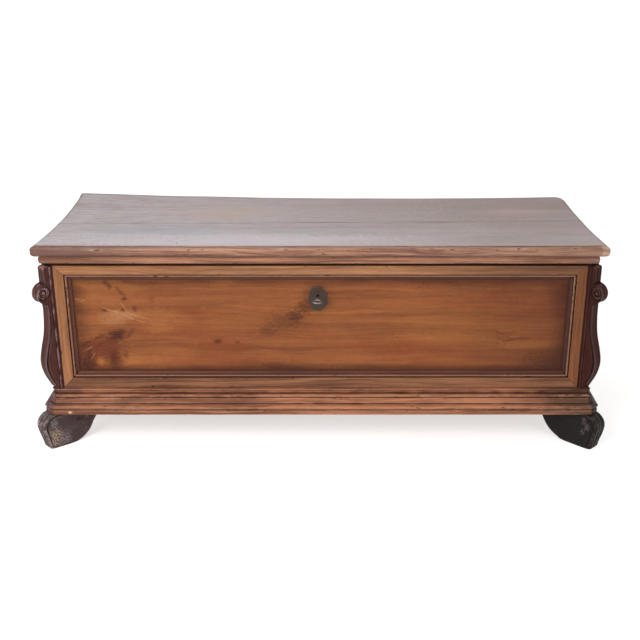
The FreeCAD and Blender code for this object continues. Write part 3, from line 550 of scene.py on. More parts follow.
def lid_wood(name, tones, polish_fade_and_sheen):
    """The lid's boards: faded and greyed by wear and polish and, towards the front left, by a painted
    reflection; with checks, stains, a warm moulded edge and painted shade along its edges.
    """
    board = Board(bpy.data.materials.new(name))
    here = board.place()
    flat = board.vector("MULTIPLY", here, (1.0, 1.0, 0.0))
    place = sawn(board, ALONG_X_LYING, 0.4)
    grain = figure(board, place, 0.019)
    colour = tinted(board, grain, tones, 0.65)
    across = board.measure(here, X_WAY)
    depth = board.measure(here, Y_WAY)
    wide = board.noise(place, (2.2, 10.0, 10.0), 4.0, 0.6)
    fine = board.noise(place, (16.0, 80.0, 80.0), 4.0, 0.7)
    # Painted reflection: the pale haze of the faded polish is laid on most strongly towards the front left.
    lit = (across * 0.9 + depth * 0.8).between(0.85, -0.60)
    fade = (wide * 0.35 + fine * 0.65).between(0.22, 0.66) * (lit * 0.72 + 0.22)
    colour = board.mix(fade, colour, polish_fade_and_sheen)
    for x, y, wide_reach, deep_reach, strength, tint in LID_STAINS_AND_SHEEN:
        stain = spot(board, flat, (x, y, 0.0), (wide_reach, deep_reach, 1.0), 0.8)
        colour = board.mix(stain * strength, colour, tint)
    cracks = None
    for first, last, width in LID_CHECKS:
        line = stroke(board, flat, (*first, 0.0), (*last, 0.0), width)
        cracks = line if cracks is None else cracks.most(line)
    colour = board.mix(cracks * 0.75, colour, srgb(64, 40, 32))
    slope = LID_DEPTH * (LID_JOINT_RIGHT_SHARE - LID_JOINT_LEFT_SHARE) / (2.0 * LID_HALF)
    middle = LID_FRONT + LID_DEPTH * (LID_JOINT_RIGHT_SHARE + LID_JOINT_LEFT_SHARE) / 2.0
    seam = (depth - across * slope - middle).size().between(0.0026, 0.0006) * fine.between(0.30, 0.55)
    colour = board.mix(seam * 0.7, colour, srgb(70, 48, 40))
    front = depth.between(LID_FRONT + 0.0135, LID_FRONT + 0.0115)
    ends = across.size().between(LID_HALF - 0.0135, LID_HALF - 0.0115)
    rim = front.most(ends)
    worn = (grain["streaks"] * 0.6 + grain["fibres"] * 0.5).between(0.46, 0.66)
    edge = board.mix(worn, srgb(108, 60, 42), srgb(186, 138, 110))
    edge = board.mix(across.between(0.25, 0.80) * 0.45, edge, srgb(104, 70, 54))
    edge = board.mix(across.between(-0.35, -0.77) * 0.80, edge, srgb(96, 60, 47))
    colour = board.mix(front, colour, edge)
    # Painted shade: the end edges are darkened, and a dark line along the front ledge stands for the shade
    # of its step.
    colour = board.mix(ends * (1.0 - front) * 0.65, colour, srgb(96, 74, 68))
    ledge = (depth - (LID_FRONT + 0.0145)).size().between(0.0038, 0.0012)
    colour = board.mix(ledge * (1.0 - ends) * 0.75, colour, srgb(84, 60, 54))
    colour = board.mix(depth.between(BACK - 0.022, BACK - 0.004) * 0.55, colour, srgb(84, 60, 52))
    bright = front * across.between(-0.80, -0.72) * 0.8
    colour, grime = aged(board, colour, place, srgb(34, 15, 9), srgb(198, 160, 138), bright, 0.12)
    roughness = grain["clouds"] * 0.20 + fine * 0.16 + wide * 0.14 + grime * 0.2 + rim * 0.15 + 0.12
    lumps = board.noise(place, (5.0, 18.0, 18.0), 3.0)
    height = (grain["fibres"] * 0.5 + grain["streaks"] * 0.8 - grain["pores"] * 0.6 + lumps * 3.0 + fine
              - cracks * 3.0)
    return board.finish(colour, roughness, height, 0.0003, {"Coat Weight": 0.15, "Coat Roughness": 0.3})


def foot_wood(name, tones, patches, wear_colour):
    """Nearly black carved wood, with patches on the cheek: where shoes and brooms have rubbed it on one
    foot, and painted reflections on the other.
    """
    board = Board(bpy.data.materials.new(name))
    here = board.place()
    place = sawn(board, SLANTED, 0.3)
    grain = figure(board, place, 0.010)
    colour = tinted(board, grain, tones, 0.9)
    mottle = board.noise(here, (210.0, 210.0, 210.0), 4.0, 0.7)
    soft = board.noise(here, (30.0, 30.0, 30.0), 3.0, 0.6)
    colour = board.mix(soft.between(0.40, 0.62) * 0.45, colour, tones[0])
    for centre, reach, strength, tint in patches:
        worn = spot(board, here, centre, (reach, reach, reach * 1.5), 0.7) * mottle.between(0.44, 0.56)
        colour = board.mix(worn * strength, colour, tint)
    colour, grime = aged(board, colour, place, srgb(14, 9, 8), wear_colour)
    roughness = mottle * 0.16 + grime * 0.25 + 0.32
    height = mottle * 0.5 + soft + grain["fibres"] * 0.5 - grain["pores"] * 0.5
    return board.finish(colour, roughness, height, 0.0005, {"Specular IOR Level": 0.15})


def raw_boards(name, directions, shift, tones, axis, seam):
    """Unpolished poplar: dry and dusty, with saw marks, damp stains and a dark joint at a seam."""
    board = Board(bpy.data.materials.new(name))
    place = sawn(board, directions, shift)
    grain = figure(board, place, 0.017)
    colour = tinted(board, grain, tones, 1.1)
    stains = board.noise(place, (4.0, 11.0, 11.0), 5.0, 0.65).between(0.52, 0.72)
    colour = board.mix(stains * 0.55, colour, srgb(92, 66, 44))
    along = board.measure(place, (1.0, 0.25, 0.0))
    saw = (along * (TURN / 0.0042)).sine() * 0.5 + 0.5
    dust = board.noise(place, (30.0, 60.0, 60.0), 4.0, 0.7)
    colour = board.mix(dust.between(0.5, 0.75) * 0.35, colour, srgb(180, 152, 126))
    joint = (board.measure(board.place(), axis) - seam).size().between(0.0024, 0.0006)
    colour = board.mix(joint * 0.85, colour, srgb(40, 27, 18))
    roughness = dust * 0.2 + 0.62
    height = saw * 0.35 + grain["fibres"] * 1.2 + dust * 0.8 - grain["pores"]
    return board.finish(colour, roughness, height, 0.0004)


def iron(name, colour, rust, roughness, rust_share=0.5, relief=0.0004, metallic=0.75, rubbed=0.7,
         behind=None):
    """Forged iron: hammered, with rust in patches, edges rubbed bright, and painted shade behind a depth.
    """
    board = Board(bpy.data.materials.new(name))
    here = board.place()
    hammered = board.noise(here, (150.0, 150.0, 150.0))
    pits = board.noise(here, (900.0, 900.0, 900.0), 3.0, 0.7)
    patches = board.noise(here, (60.0, 60.0, 60.0), 5.0, 0.7).between(0.46, 0.66)
    mixed = board.mix(hammered.between(0.35, 0.7), tuple(value * 0.6 for value in colour), colour)
    mixed = board.mix(patches * rust_share, mixed, rust)
    bright = tuple(min(1.0, value * 2.6 + 0.05) for value in colour)
    mixed = board.mix(board.hollow().between(-0.03, -0.16) * rubbed, mixed, bright)
    # Painted shade: beyond the depth, towards the keyhole, the iron is darkened.
    if behind is not None:
        depth = board.measure(here, Y_WAY)
        mixed = board.mix(depth.between(behind - 0.003, behind) * 0.9, mixed, srgb(52, 42, 38))
    rough = patches * 0.25 + pits * 0.15 + (roughness - 0.1)
    metal = patches * (-0.6 * metallic) + metallic
    height = hammered * 1.6 + pits * 0.5 + patches * 0.5
    return board.finish(mixed, rough, height, relief, {"Metallic": metal})


# Lines, sections and closed shapes

def drawn(moves, width, height, start=(0.0, 0.0)):
    """Points through moves in shares: lines, arcs about the centre of three points, and smooth curves.

    The centre of an arc through complex a, b and c is a + (b - a) (w - |w| squared) / (2j Im w), where w
    is (c - a) / (b - a). A curve is Catmull-Rom's cubic through its points.
    """
    scale = np.array((width, height))
    here = np.array(start) * scale
    runs = [here[None]]
    for move in moves:
        points = np.array([here] + [np.array(point) * scale for point in move])
        if len(move) == 1:
            run = points[1:]
        elif len(move) == 2:
            first, middle, last = points[:, 0] + 1j * points[:, 1]
            ratio = (last - first) / (middle - first)
            centre = first + (middle - first) * (ratio - abs(ratio) ** 2) / (2j * ratio.imag)
            halfway = np.angle((middle - centre) / (first - centre))
            turn = np.angle((last - centre) / (first - centre))
            if halfway * turn < 0.0 or abs(turn) < abs(halfway):
                turn = turn + math.copysign(TURN, halfway)
            arc = centre + (first - centre) * np.exp(1j * turn * np.linspace(0.0, 1.0, 25)[1:])
            run = np.stack([arc.real, arc.imag], axis=1)
        else:
            padded = np.concatenate([points[:1], points, points[-1:]])
            share = np.linspace(0.0, 1.0, 13)[1:, None, None]
            a, b, c, d = (padded[index:index + len(points) - 1] for index in range(4))
            curve = 0.5 * (2.0 * b + (c - a) * share + (2.0 * a - 5.0 * b + 4.0 * c - d) * share ** 2
                           + (3.0 * b - a - 3.0 * c + d) * share ** 3)
            run = curve.transpose(1, 0, 2).reshape(-1, 2)
        runs.append(run)
        here = points[-1]
    return np.concatenate(runs)


def within(value):
    """A value held between 0 and 1."""
    return np.clip(value, 0.0, 1.0)


def even(points, step):
    """The same line with points at equal steps, its ends kept."""
    lengths = np.concatenate([[0.0], np.cumsum(np.linalg.norm(np.diff(points, axis=0), axis=1))])
    places = np.linspace(0.0, lengths[-1], max(2, int(round(lengths[-1] / step)) + 1))
    return np.stack([np.interp(places, lengths, column) for column in points.T], axis=1)


def stepped(points, step):
    """Points at equal steps on each straight run, with every corner kept."""
    runs = [even(points[index:index + 2], step)[:-1] for index in range(len(points) - 1)]
    return np.concatenate(runs + [points[-1:]])


def softened(points, rounds):
    """Each point but the ends moved half way to the middle of its neighbours, several times."""
    result = points.copy()
    for _ in range(rounds):
        result[1:-1] = (result[:-2] + 2.0 * result[1:-1] + result[2:]) / 4.0
    return result


def eased(points, step=0.0008, rounds=2):
    """The same line at equal steps, with its corners rounded off."""
    return softened(even(points, step), rounds)


def outwards(line):
    """Unit normals of a line in its plane, turned to the side its middle is not on."""
    travel = np.gradient(line, axis=0)
    travel /= np.maximum(np.linalg.norm(travel, axis=1, keepdims=True), 1e-9)
    normal = np.stack([travel[:, 1], -travel[:, 0]], axis=1)
    return normal if ((line - line.mean(axis=0)) * normal).sum() > 0.0 else -normal


def travelled(line):
    """Distance along a line at each of its points."""
    return np.concatenate([[0.0], np.cumsum(np.linalg.norm(np.diff(line, axis=0), axis=1))])


def rumple(first, second, first_size, second_size, seed):
    """Smooth random field from -1 to 1: a seeded lattice blended by the cubic 3t^2 - 2t^3 both ways."""
    lattice = np.random.default_rng(seed).uniform(-1.0, 1.0, (64, 64))
    u = first / first_size + 1000.0
    v = second / second_size + 1000.0
    low_u = np.floor(u).astype(int)
    low_v = np.floor(v).astype(int)
    share_u = (u - low_u) ** 2 * (3.0 - 2.0 * (u - low_u))
    share_v = (v - low_v) ** 2 * (3.0 - 2.0 * (v - low_v))
    corners = [lattice[(low_u + i) % 64, (low_v + j) % 64] for i in (0, 1) for j in (0, 1)]
    near = corners[0] * (1.0 - share_v) + corners[1] * share_v
    far = corners[2] * (1.0 - share_v) + corners[3] * share_v
    return near * (1.0 - share_u) + far * share_u


def bites(along, around, arris, count, seed, deep=0.0009):
    """Depth of the chips knocked out of a piece's arrises, as seeded Gaussian dents."""
    draws = np.random.default_rng(seed)
    total = np.zeros(np.broadcast(along, around).shape)
    places = np.flatnonzero(arris > 0.5)
    if len(places) == 0:
        return total
    for _ in range(count):
        centre = draws.uniform(along.min(), along.max())
        beside = around.ravel()[draws.choice(places)]
        length = draws.uniform(0.0015, 0.007)
        depth = deep * draws.uniform(0.15, 1.0) ** 2
        total += depth * np.exp(-((along - centre) / length) ** 2 - ((around - beside) / 0.0018) ** 2)
    return total


def mitred(section, corners, out, seed, sway, chips, step=0.012, back=0):
    """A moulded strip between two mitres, as rows of its closed section.

    A section point lies at a width and a height. Its share of the full width places it between the near
    line and the far line through the four corners, which cuts both mitres. Slow waves, and chips on the
    arrises, move it along the section's own normal. The last points, the back, stay put.
    """
    near_low, far_low, far_high, near_high = (np.array(corner, float) for corner in corners)
    along = near_high - near_low
    along = along / np.linalg.norm(along)
    inwards = far_low - near_low
    inwards = inwards - along * inwards.dot(along)
    width = np.linalg.norm(inwards)
    share = section[:, 0] / width
    low = near_low + np.outer(share, far_low - near_low)
    high = near_high + np.outer(share, far_high - near_high)
    length = (high - low).dot(along)
    rows = max(2, int(round(length.max() / step)) + 1)
    close = 0.0012 / length.max()
    shares = np.concatenate([[0.0, close], np.linspace(0.0, 1.0, rows)[1:-1], [1.0 - close, 1.0]])
    runs = shares[:, None] * (length - 2.0 * MITRE_GAP) + MITRE_GAP
    points = low + runs[..., None] * along + section[:, 1:2] * out
    line = section[:len(section) - back]
    normal = outwards(line)
    around = travelled(line)
    arris = within(((line - softened(line, 24)) * normal).sum(axis=1) / 0.0004)
    places = runs[:, :len(line)] + low[:len(line)].dot(along)
    waves = (rumple(places, around[None], 0.11, 0.021, seed)
             + 0.5 * rumple(places, around[None], 0.034, 0.011, seed + 1))
    moved = waves * sway - bites(places, around[None], arris, chips, seed + 2) * arris - sway
    moved = moved * within(np.minimum(around, around[-1] - around) / 0.003)
    direction = normal[:, :1] * (inwards / width) + normal[:, 1:] * out
    points[:, :len(line)] += moved[..., None] * direction
    return points


# Marks on the points of a strip's ends, of its joints and of its sides painted pale as a highlight, and the
# depth of a mark
END_MARK = 1.0
JOINT_MARK = 0.6
PALE_ARRIS_MARK = -1.3
MARK_DEPTH = 0.24
WELD = 2e-6
# How far a joint's dirt reaches over a section
FRAME_JOINT_NEAR = 0.0014
FRAME_JOINT_FAR = 0.0012
MOULDING_JOINT = 0.0016
SKIRT_JOINT = 0.0010
BASE_JOINT_SHARE = 0.035


class Shell:
    """Grids of points gathered into one closed mesh."""

    def __init__(self, name):
        self.name = name
        self.points = []
        self.faces = []
        self.marks = []
        self.count = 0

    def grid(self, points, wrap=False):
        """Quads over rows and columns of points; wrap joins the last column to the first."""
        rows, columns = points.shape[:2]
        index = np.arange(rows * columns).reshape(rows, columns) + self.count
        if wrap:
            index = np.concatenate([index, index[:, :1]], axis=1)
        corners = (index[:-1, :-1], index[:-1, 1:], index[1:, 1:], index[1:, :-1])
        self.faces += np.stack(corners, axis=-1).reshape(-1, 4).tolist()
        self.points.append(points.reshape(-1, 3))
        self.marks.append(np.zeros(rows * columns, dtype=np.float32))
        self.count += rows * columns
        return index

    def bar(self, points, joints=(), rubbed=()):
        """A closed section carried along a piece, with a flat face on each end.

        The columns of joints are dirty and those of rubbed are painted pale, as a painted highlight.
        """
        index = self.grid(points, wrap=True)
        marks = np.zeros(points.shape[:2], dtype=np.float32)
        marks[:, joints] = JOINT_MARK
        marks[:, rubbed] = PALE_ARRIS_MARK
        marks[[0, -1]] = END_MARK
        self.marks[-1] = marks.ravel()
        self.faces.append(index[0, :-1].tolist())
        self.faces.append(index[-1, :-1].tolist())

    def finish(self, body, slot, material, *nodes, sharp=50.0):
        """Make the mesh, close its seams, turn its faces out, attach it to its body and hide the nodes it
        replaces.
        """
        mesh = bpy.data.meshes.new(self.name)
        mesh.from_pydata(np.concatenate(self.points).tolist(), [], self.faces)
        marks = mesh.attributes.new("marks", "FLOAT", "POINT")
        marks.data.foreach_set("value", np.concatenate(self.marks))
        shape = bmesh.new()
        shape.from_mesh(mesh)
        bmesh.ops.remove_doubles(shape, verts=shape.verts, dist=WELD)
        bmesh.ops.dissolve_degenerate(shape, edges=shape.edges, dist=WELD)
        bmesh.ops.recalc_face_normals(shape, faces=shape.faces)
        shape.to_mesh(mesh)
        shape.free()
        mesh.shade_smooth()
        mesh.set_sharp_from_angle(angle=math.radians(sharp))
        marks = np.empty(len(mesh.vertices), dtype=np.float32)
        mesh.attributes["marks"].data.foreach_get("value", marks)
        layer = mesh.attributes.new("hollow", "FLOAT", "POINT")
        depth = np.where(marks != 0.0, marks * MARK_DEPTH, hollows(mesh))
        layer.data.foreach_set("value", depth.astype(np.float32))
        mesh.attributes.remove(mesh.attributes["marks"])
        mesh.materials.append(material)
        piece = bpy.data.objects.new(self.name, mesh)
        bpy.context.scene.collection.objects.link(piece)
        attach(piece, body)
        if nodes:
            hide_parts(*nodes)
        return piece


def hollows(mesh, rounds=14):
    """Millimetres that each point lies below the running average of its neighbours, along its normal."""
    count = len(mesh.vertices)
    places = np.empty(count * 3)
    mesh.vertices.foreach_get("co", places)
    places = places.reshape(-1, 3)
    normals = np.empty(count * 3)
    mesh.vertices.foreach_get("normal", normals)
    ends = np.empty(len(mesh.edges) * 2, dtype=np.int32)
    mesh.edges.foreach_get("vertices", ends)
    first, second = ends.reshape(-1, 2).T
    degree = np.maximum(np.bincount(ends, minlength=count), 1)
    average = places.copy()
    for _ in range(rounds):
        total = np.stack([np.bincount(first, column[second], count)
                          + np.bincount(second, column[first], count) for column in average.T], axis=1)
        average = (average + total / degree[:, None]) / 2.0
    return ((average - places) * normals.reshape(-1, 3)).sum(axis=1) * 1000.0


def strip(node, points, body, slot, wood, joints=(), rubbed=()):
    """A moulded strip in the place of its plain node."""
    shell = Shell("dressed_" + node)
    shell.bar(points, joints, rubbed)
    shell.finish(body, slot, wood, node)


def surface(node, material):
    """Give a node of the frame its material."""
    mesh = frame["nodes"][node].data
    mesh.materials.clear()
    mesh.materials.append(material)


# Settings that a user would change

class ChestSizes(bpy.types.PropertyGroup):
    """Wear and warp of the pieces."""

    sway: FloatProperty(name="Sway", description="How far the mouldings wave", default=0.0004,
                        unit="LENGTH", precision=5)
    lid_left_lift: FloatProperty(name="Left lift", description="Rise of the lid's back left corner",
                                 default=0.0120, unit="LENGTH", precision=4)
    lid_back_sag: FloatProperty(name="Back sag", description="Fall of the middle of the lid's back edge",
                                default=0.0055, unit="LENGTH", precision=4)
    lid_right_sag: FloatProperty(name="Right sag", description="Fall of the lid's back right corner",
                                 default=0.0008, unit="LENGTH", precision=4)
    lid_front_sag: FloatProperty(name="Front sag", description="Fall of the middle of the lid's front edge",
                                 default=0.0026, unit="LENGTH", precision=4)
    skirt_left: FloatProperty(name="Skirt", description="How much thicker the left skirt strip is",
                              default=0.005, unit="LENGTH", precision=4)
    left_corner: FloatProperty(name="Left corner", description="Radius of the lid's back left corner",
                               default=0.014, unit="LENGTH", precision=4)
    right_corner: FloatProperty(name="Right corner", description="Radius of the lid's back right corner",
                                default=0.036, unit="LENGTH", precision=4)
    nail: FloatProperty(name="Nail", description="Radius of a nail's head", default=0.0028,
                        unit="LENGTH", precision=4)


class ChestColours(bpy.types.PropertyGroup):
    """Middle tone of each finish."""

    panel: FloatVectorProperty(name="Panel", description="Walnut of the front board", subtype="COLOR",
                               default=srgb(147, 86, 48))
    frame: FloatVectorProperty(name="Frame", description="Walnut of the frame strips", subtype="COLOR",
                               default=srgb(150, 99, 64))
    moulding: FloatVectorProperty(name="Moulding", description="Walnut round the panel", subtype="COLOR",
                                  default=srgb(100, 58, 44))
    base: FloatVectorProperty(name="Base", description="Walnut of the base", subtype="COLOR",
                              default=srgb(162, 106, 76))
    lid: FloatVectorProperty(name="Lid", description="Walnut of the lid", subtype="COLOR",
                             default=srgb(128, 94, 78))
    # Pale haze of the faded lid polish, which also serves as the lid's painted reflection
    polish_fade_and_sheen: FloatVectorProperty(name="Haze", description="Faded polish on the lid", subtype="COLOR",
                              default=srgb(184, 174, 180))
    dark: FloatVectorProperty(name="Dark wood", description="Walnut of the brackets", subtype="COLOR",
                              default=srgb(80, 42, 35))
    foot: FloatVectorProperty(name="Feet", description="Blackened wood of the feet", subtype="COLOR",
                              default=srgb(87, 71, 69))
    poplar: FloatVectorProperty(name="Poplar", description="Raw boards of the back and bottom",
                                subtype="COLOR", default=srgb(166, 120, 86))
    iron: FloatVectorProperty(name="Iron", description="Forged iron", subtype="COLOR",
                              default=srgb(74, 60, 53))


class ChestStage(bpy.types.PropertyGroup):
    """Light on the chest."""

    ambient: FloatProperty(name="Ambient", description="Light from all round", default=0.50)
    key: FloatProperty(name="Key", description="Power of the large lamp", default=120.0, unit="POWER")
    fill: FloatProperty(name="Fill", description="Power of the lamp on the right", default=30.0,
                        unit="POWER")
    floor_glow: FloatProperty(name="Floor glow", description="What lifts the seen floor to white",
                              default=0.58)


def tones(colour, spread=0.42, warmth=0.06):
    """Darkest, middle and lightest tone about a colour, the dark end a little redder."""
    red, green, blue = colour
    dark = (red * (1.0 - spread), green * (1.0 - spread - warmth), blue * (1.0 - spread - warmth))
    light = tuple(min(1.0, value * (1.0 + spread)) for value in (red, green * 1.02, blue * 1.04))
    return [dark, (red, green, blue), light]


# Base, frames and skirt

def plan_corner(index, side, reach):
    """Corner of the base's plan at a reach: 0 and 1 are the cut corner, 2 is at the back."""
    spread = math.tan(math.pi / 8.0) * reach
    cut, _, further = BASE_CORNERS[side]
    half = CASE_HALF + further
    x, y = [(half - cut + spread, FRONT - reach), (half + reach, FRONT + cut - spread),
            (half + reach, BACK)][index]
    return (side * x, y, BASE_BOTTOM)


# Painted light on the front base moulding along X, a purple sheen at its left end and shade at its right:
# both ends, strength and tint
BASE_PAINTED_SHEEN_AND_SHADE = [
    (-0.58, -0.80, 0.65, srgb(88, 52, 42)),
    (0.50, 0.82, 0.70, srgb(72, 46, 32)),
    (0.68, 0.78, 0.45, srgb(60, 46, 34)),
]
# Its chip, its blotches and a painted pinkish highlight on the top of its left end: centre, radii and tint
BASE_SPOTS_AND_HIGHLIGHT = [
    ((-0.732, -0.302, 0.116), (0.009, 0.012, 0.005), srgb(240, 202, 168)),
    ((-0.738, -0.280, 0.178), (0.055, 0.030, 0.011), srgb(140, 98, 96)),
    ((-0.560, -0.290, 0.147), (0.080, 0.030, 0.012), srgb(120, 82, 58)),
    ((0.690, -0.300, 0.120), (0.080, 0.030, 0.006), srgb(124, 82, 76)),
]


class BuildBase(bpy.types.Operator):
    """Moulded base: its section carried round the front, the cut corners and the ends"""

    bl_idname = "chest.base"
    bl_label = "Base mouldings"

    def execute(self, context):
        sizes = context.scene.chest_sizes
        colour = tones(context.scene.chest_colours.base)
        height = BASE_TOP - BASE_BOTTOM
        core = STRIP_THICKNESS
        face = eased(drawn(BASE_SHARES, BASE_REACH, height))
        near = face * (-1.0, 1.0) + (BASE_REACH, 0.0)

        def length(first, second, deep):
            """Section and corners of the length between two corners of the plan, with its depth inwards."""
            section = np.concatenate([near, [(BASE_REACH + deep, height), (BASE_REACH + deep, 0.0)]])
            return section, [plan_corner(*first, BASE_REACH), plan_corner(*first, -deep),
                             plan_corner(*second, -deep), plan_corner(*second, BASE_REACH)]

        lengths = {"front_base_moulding": length((0, -1), (0, 1), core)}
        for side, prefix in SIDES:
            wedge = BASE_CORNERS[side][1]
            lengths[prefix + "corner_base_moulding"] = length((0, side), (1, side), wedge)
            lengths[prefix + "side_base_moulding"] = length((1, side), (2, side), core)
        woods = {
            "front": walnut("base_front", ALONG_X, 3.1, colour, dirt_colour=srgb(50, 20, 11), contrast=1.9,
                            smoke=BASE_PAINTED_SHEEN_AND_SHADE, spots_and_highlights=BASE_SPOTS_AND_HIGHLIGHT),
            # The right corner and right end are darker copies of the left ones: painted shade.
            "left_corner": walnut("base_left_corner", SLANTED, 4.2, tones(srgb(92, 62, 60)), gloss=0.2,
                                  wear_colour=srgb(150, 116, 112)),
            "right_corner": walnut("base_right_corner", SLANTED, 4.8, tones(srgb(46, 34, 30)), gloss=0.15,
                                   wear_colour=srgb(84, 66, 58)),
            "left_side": walnut("base_left_side", ALONG_Y, 5.3, tones(srgb(104, 70, 60)), gloss=0.2),
            "right_side": walnut("base_right_side", ALONG_Y, 5.9, tones(srgb(70, 48, 40)), gloss=0.2),
        }
        for seed, (name, (section, corners)) in enumerate(lengths.items()):
            chips = 220 if name.startswith("front") else 40
            points = mitred(section, corners, UP, 100 + 10 * seed, sizes.sway, chips, step=0.005, back=2)
            joints = np.flatnonzero(section[:, 1] > height * (1.0 - BASE_JOINT_SHARE))
            strip(name, points, "case", "base_walnut", woods[name.split("_base")[0]], joints)
        return {"FINISHED"}


def frame_corners(outer, inner, place):
    """Corner points of the four mitred sides between two upright rectangles, by name."""
    ring = {}
    for index, name in enumerate(("bottom", "right", "top", "left")):
        after = (index + 1) % 4
        ring[name] = [place(*corner) for corner in (outer[index], inner[index], inner[after], outer[after])]
    return ring


def rectangle(start, end, low, high):
    """Corners of an upright rectangle, counted from its low first one."""
    return [(start, low), (end, low), (end, high), (start, high)]


# Tones of the front's flat strips, but the left one, with the right stile darkened as painted shade, and
# their changes along X as in the base:
# painted shade to the right, painted light at the top rail's left and a darker patch at the bottom rail's
# left
FRAME_TINTS = {"bottom": srgb(132, 86, 58), "right": srgb(122, 72, 40), "top": srgb(162, 112, 76)}
FRAME_SHADE_LIGHT_AND_TONE = {
    "top": [(0.22, 0.62, 0.62, srgb(78, 42, 26)), (-0.15, -0.75, 0.25, srgb(176, 112, 66))],
    "bottom": [(-0.35, -0.72, 0.40, srgb(78, 42, 28)), (0.45, 0.80, 0.25, srgb(70, 38, 24))],
}


class BuildFrontFrame(bpy.types.Operator):
    """Flat mitred strips round the front, and the bead and hollow planted inside them"""

    bl_idname = "chest.front_frame"
    bl_label = "Front frame"

    def execute(self, context):
        sizes = context.scene.chest_sizes
        colours = context.scene.chest_colours
        outer = rectangle(-STILE_OUTER, STILE_OUTER, BASE_TOP, FRAME_TOP)
        sight = rectangle(-SIGHT_HALF, SIGHT_HALF, RAIL_LOW, RAIL_HIGH)
        inner = rectangle(MOULDING_WIDTH - SIGHT_HALF, SIGHT_HALF - MOULDING_WIDTH,
                          RAIL_LOW + MOULDING_WIDTH, RAIL_HIGH - MOULDING_WIDTH)
        out = np.array((0.0, -1.0, 0.0))

        def place(x, z):
            return (x, PANEL_FACE, z)

        nodes = {"bottom": "front_bottom_rail", "right": "front_right_stile", "top": "front_top_rail",
                 "left": "front_left_stile"}
        for seed, (side, corners) in enumerate(frame_corners(outer, sight, place).items()):
            width = {"bottom": RAIL_LOW - BASE_TOP, "top": FRAME_TOP - RAIL_HIGH}.get(side, STRIP_WIDTH)
            flat = np.array([(0.0, 0.0), (0.0, STRIP_THICKNESS), (width, STRIP_THICKNESS), (width, 0.0)])
            section = eased(flat, rounds=3)
            grain = ALONG_X if side in ("bottom", "top") else ALONG_Z
            tint = FRAME_TINTS.get(side, tuple(colours.frame))
            wood = walnut("frame_" + side, grain, 6.0 + seed, tones(tint, 0.40),
                          contrast=1.9 if side == "bottom" else 1.4, smoke=FRAME_SHADE_LIGHT_AND_TONE.get(side, ()))
            points = mitred(section, corners, out, 200 + 10 * seed, sizes.sway * 0.5, 40, step=0.006)
            joints = np.flatnonzero((section[:, 0] < FRAME_JOINT_NEAR)
                                    | (section[:, 0] > width - FRAME_JOINT_FAR))
            strip(nodes[side], points, "case", "frame_walnut", wood, joints)
        section = eased(drawn(PANEL_MOULDING_SHARES, MOULDING_WIDTH, STRIP_THICKNESS), 0.0006)
        for seed, (side, corners) in enumerate(frame_corners(sight, inner, place).items()):
            grain = ALONG_X if side in ("bottom", "top") else ALONG_Z
            # Painted shade: the right side's moulding is dimmed, and each side darkens towards its right
            # end.
            share = 0.72 if side == "right" else 1.0
            shade_dimmed_tone = tuple(value * share for value in colours.moulding)
            wood = walnut("panel_moulding_" + side, grain, 10.0 + seed, tones(shade_dimmed_tone),
                          dirt_colour=srgb(36, 16, 11), wear_colour=srgb(168, 122, 96), bare=0.22,
                          smoke=[(0.10, 0.75, 0.45, srgb(58, 30, 22))])
            points = mitred(section, corners, out, 300 + 10 * seed, sizes.sway * 0.25, 14, step=0.006)
            joints = np.flatnonzero(section[:, 0] > MOULDING_WIDTH - MOULDING_JOINT)
            strip("front_panel_moulding_" + side, points, "case", "moulding_walnut", wood, joints)
        return {"FINISHED"}


class BuildSideFrames(bpy.types.Operator):
    """Mitred strips on both ends, with the moulding worked on their inner edge"""

    bl_idname = "chest.side_frames"
    bl_label = "End frames"

    def execute(self, context):
        sizes = context.scene.chest_sizes
        flat = np.array([(0.0, 0.0), (0.0, STRIP_THICKNESS), (STRIP_WIDTH, STRIP_THICKNESS)])
        moulding = drawn(PANEL_MOULDING_SHARES, MOULDING_WIDTH, STRIP_THICKNESS)[1:] + (STRIP_WIDTH, 0.0)
        section = eased(np.concatenate([flat, moulding]))
        whole = STRIP_WIDTH + MOULDING_WIDTH
        outer = rectangle(FRONT + CORNER_CUT, BACK, BASE_TOP, FRAME_TOP)
        inner = rectangle(FRONT + CORNER_CUT + whole, BACK - whole, BASE_TOP + whole, FRAME_TOP - whole)
        names = {"bottom": "bottom_rail", "right": "rear_stile", "top": "top_rail", "left": "front_stile"}
        colour = tones(context.scene.chest_colours.frame)
        level = walnut("end_rails", ALONG_Y, 14.0, colour)
        upright = walnut("end_stiles", ALONG_Z_SIDE, 15.0, colour)
        for side, prefix in SIDES:
            ring = frame_corners(outer, inner, lambda y, z: (side * SIDE_FACE, y, z))
            out = np.array((float(side), 0.0, 0.0))
            for seed, (place, corners) in enumerate(ring.items()):
                wood = level if place in ("bottom", "top") else upright
                points = mitred(section, corners, out, 440 + 40 * side + 10 * seed, sizes.sway, 16,
                                step=0.014)
                strip(prefix + "side_" + names[place], points, "case", "frame_walnut", wood)
        return {"FINISHED"}


# Lid: its underside is an arc about an axis high above it, tilted down to the back

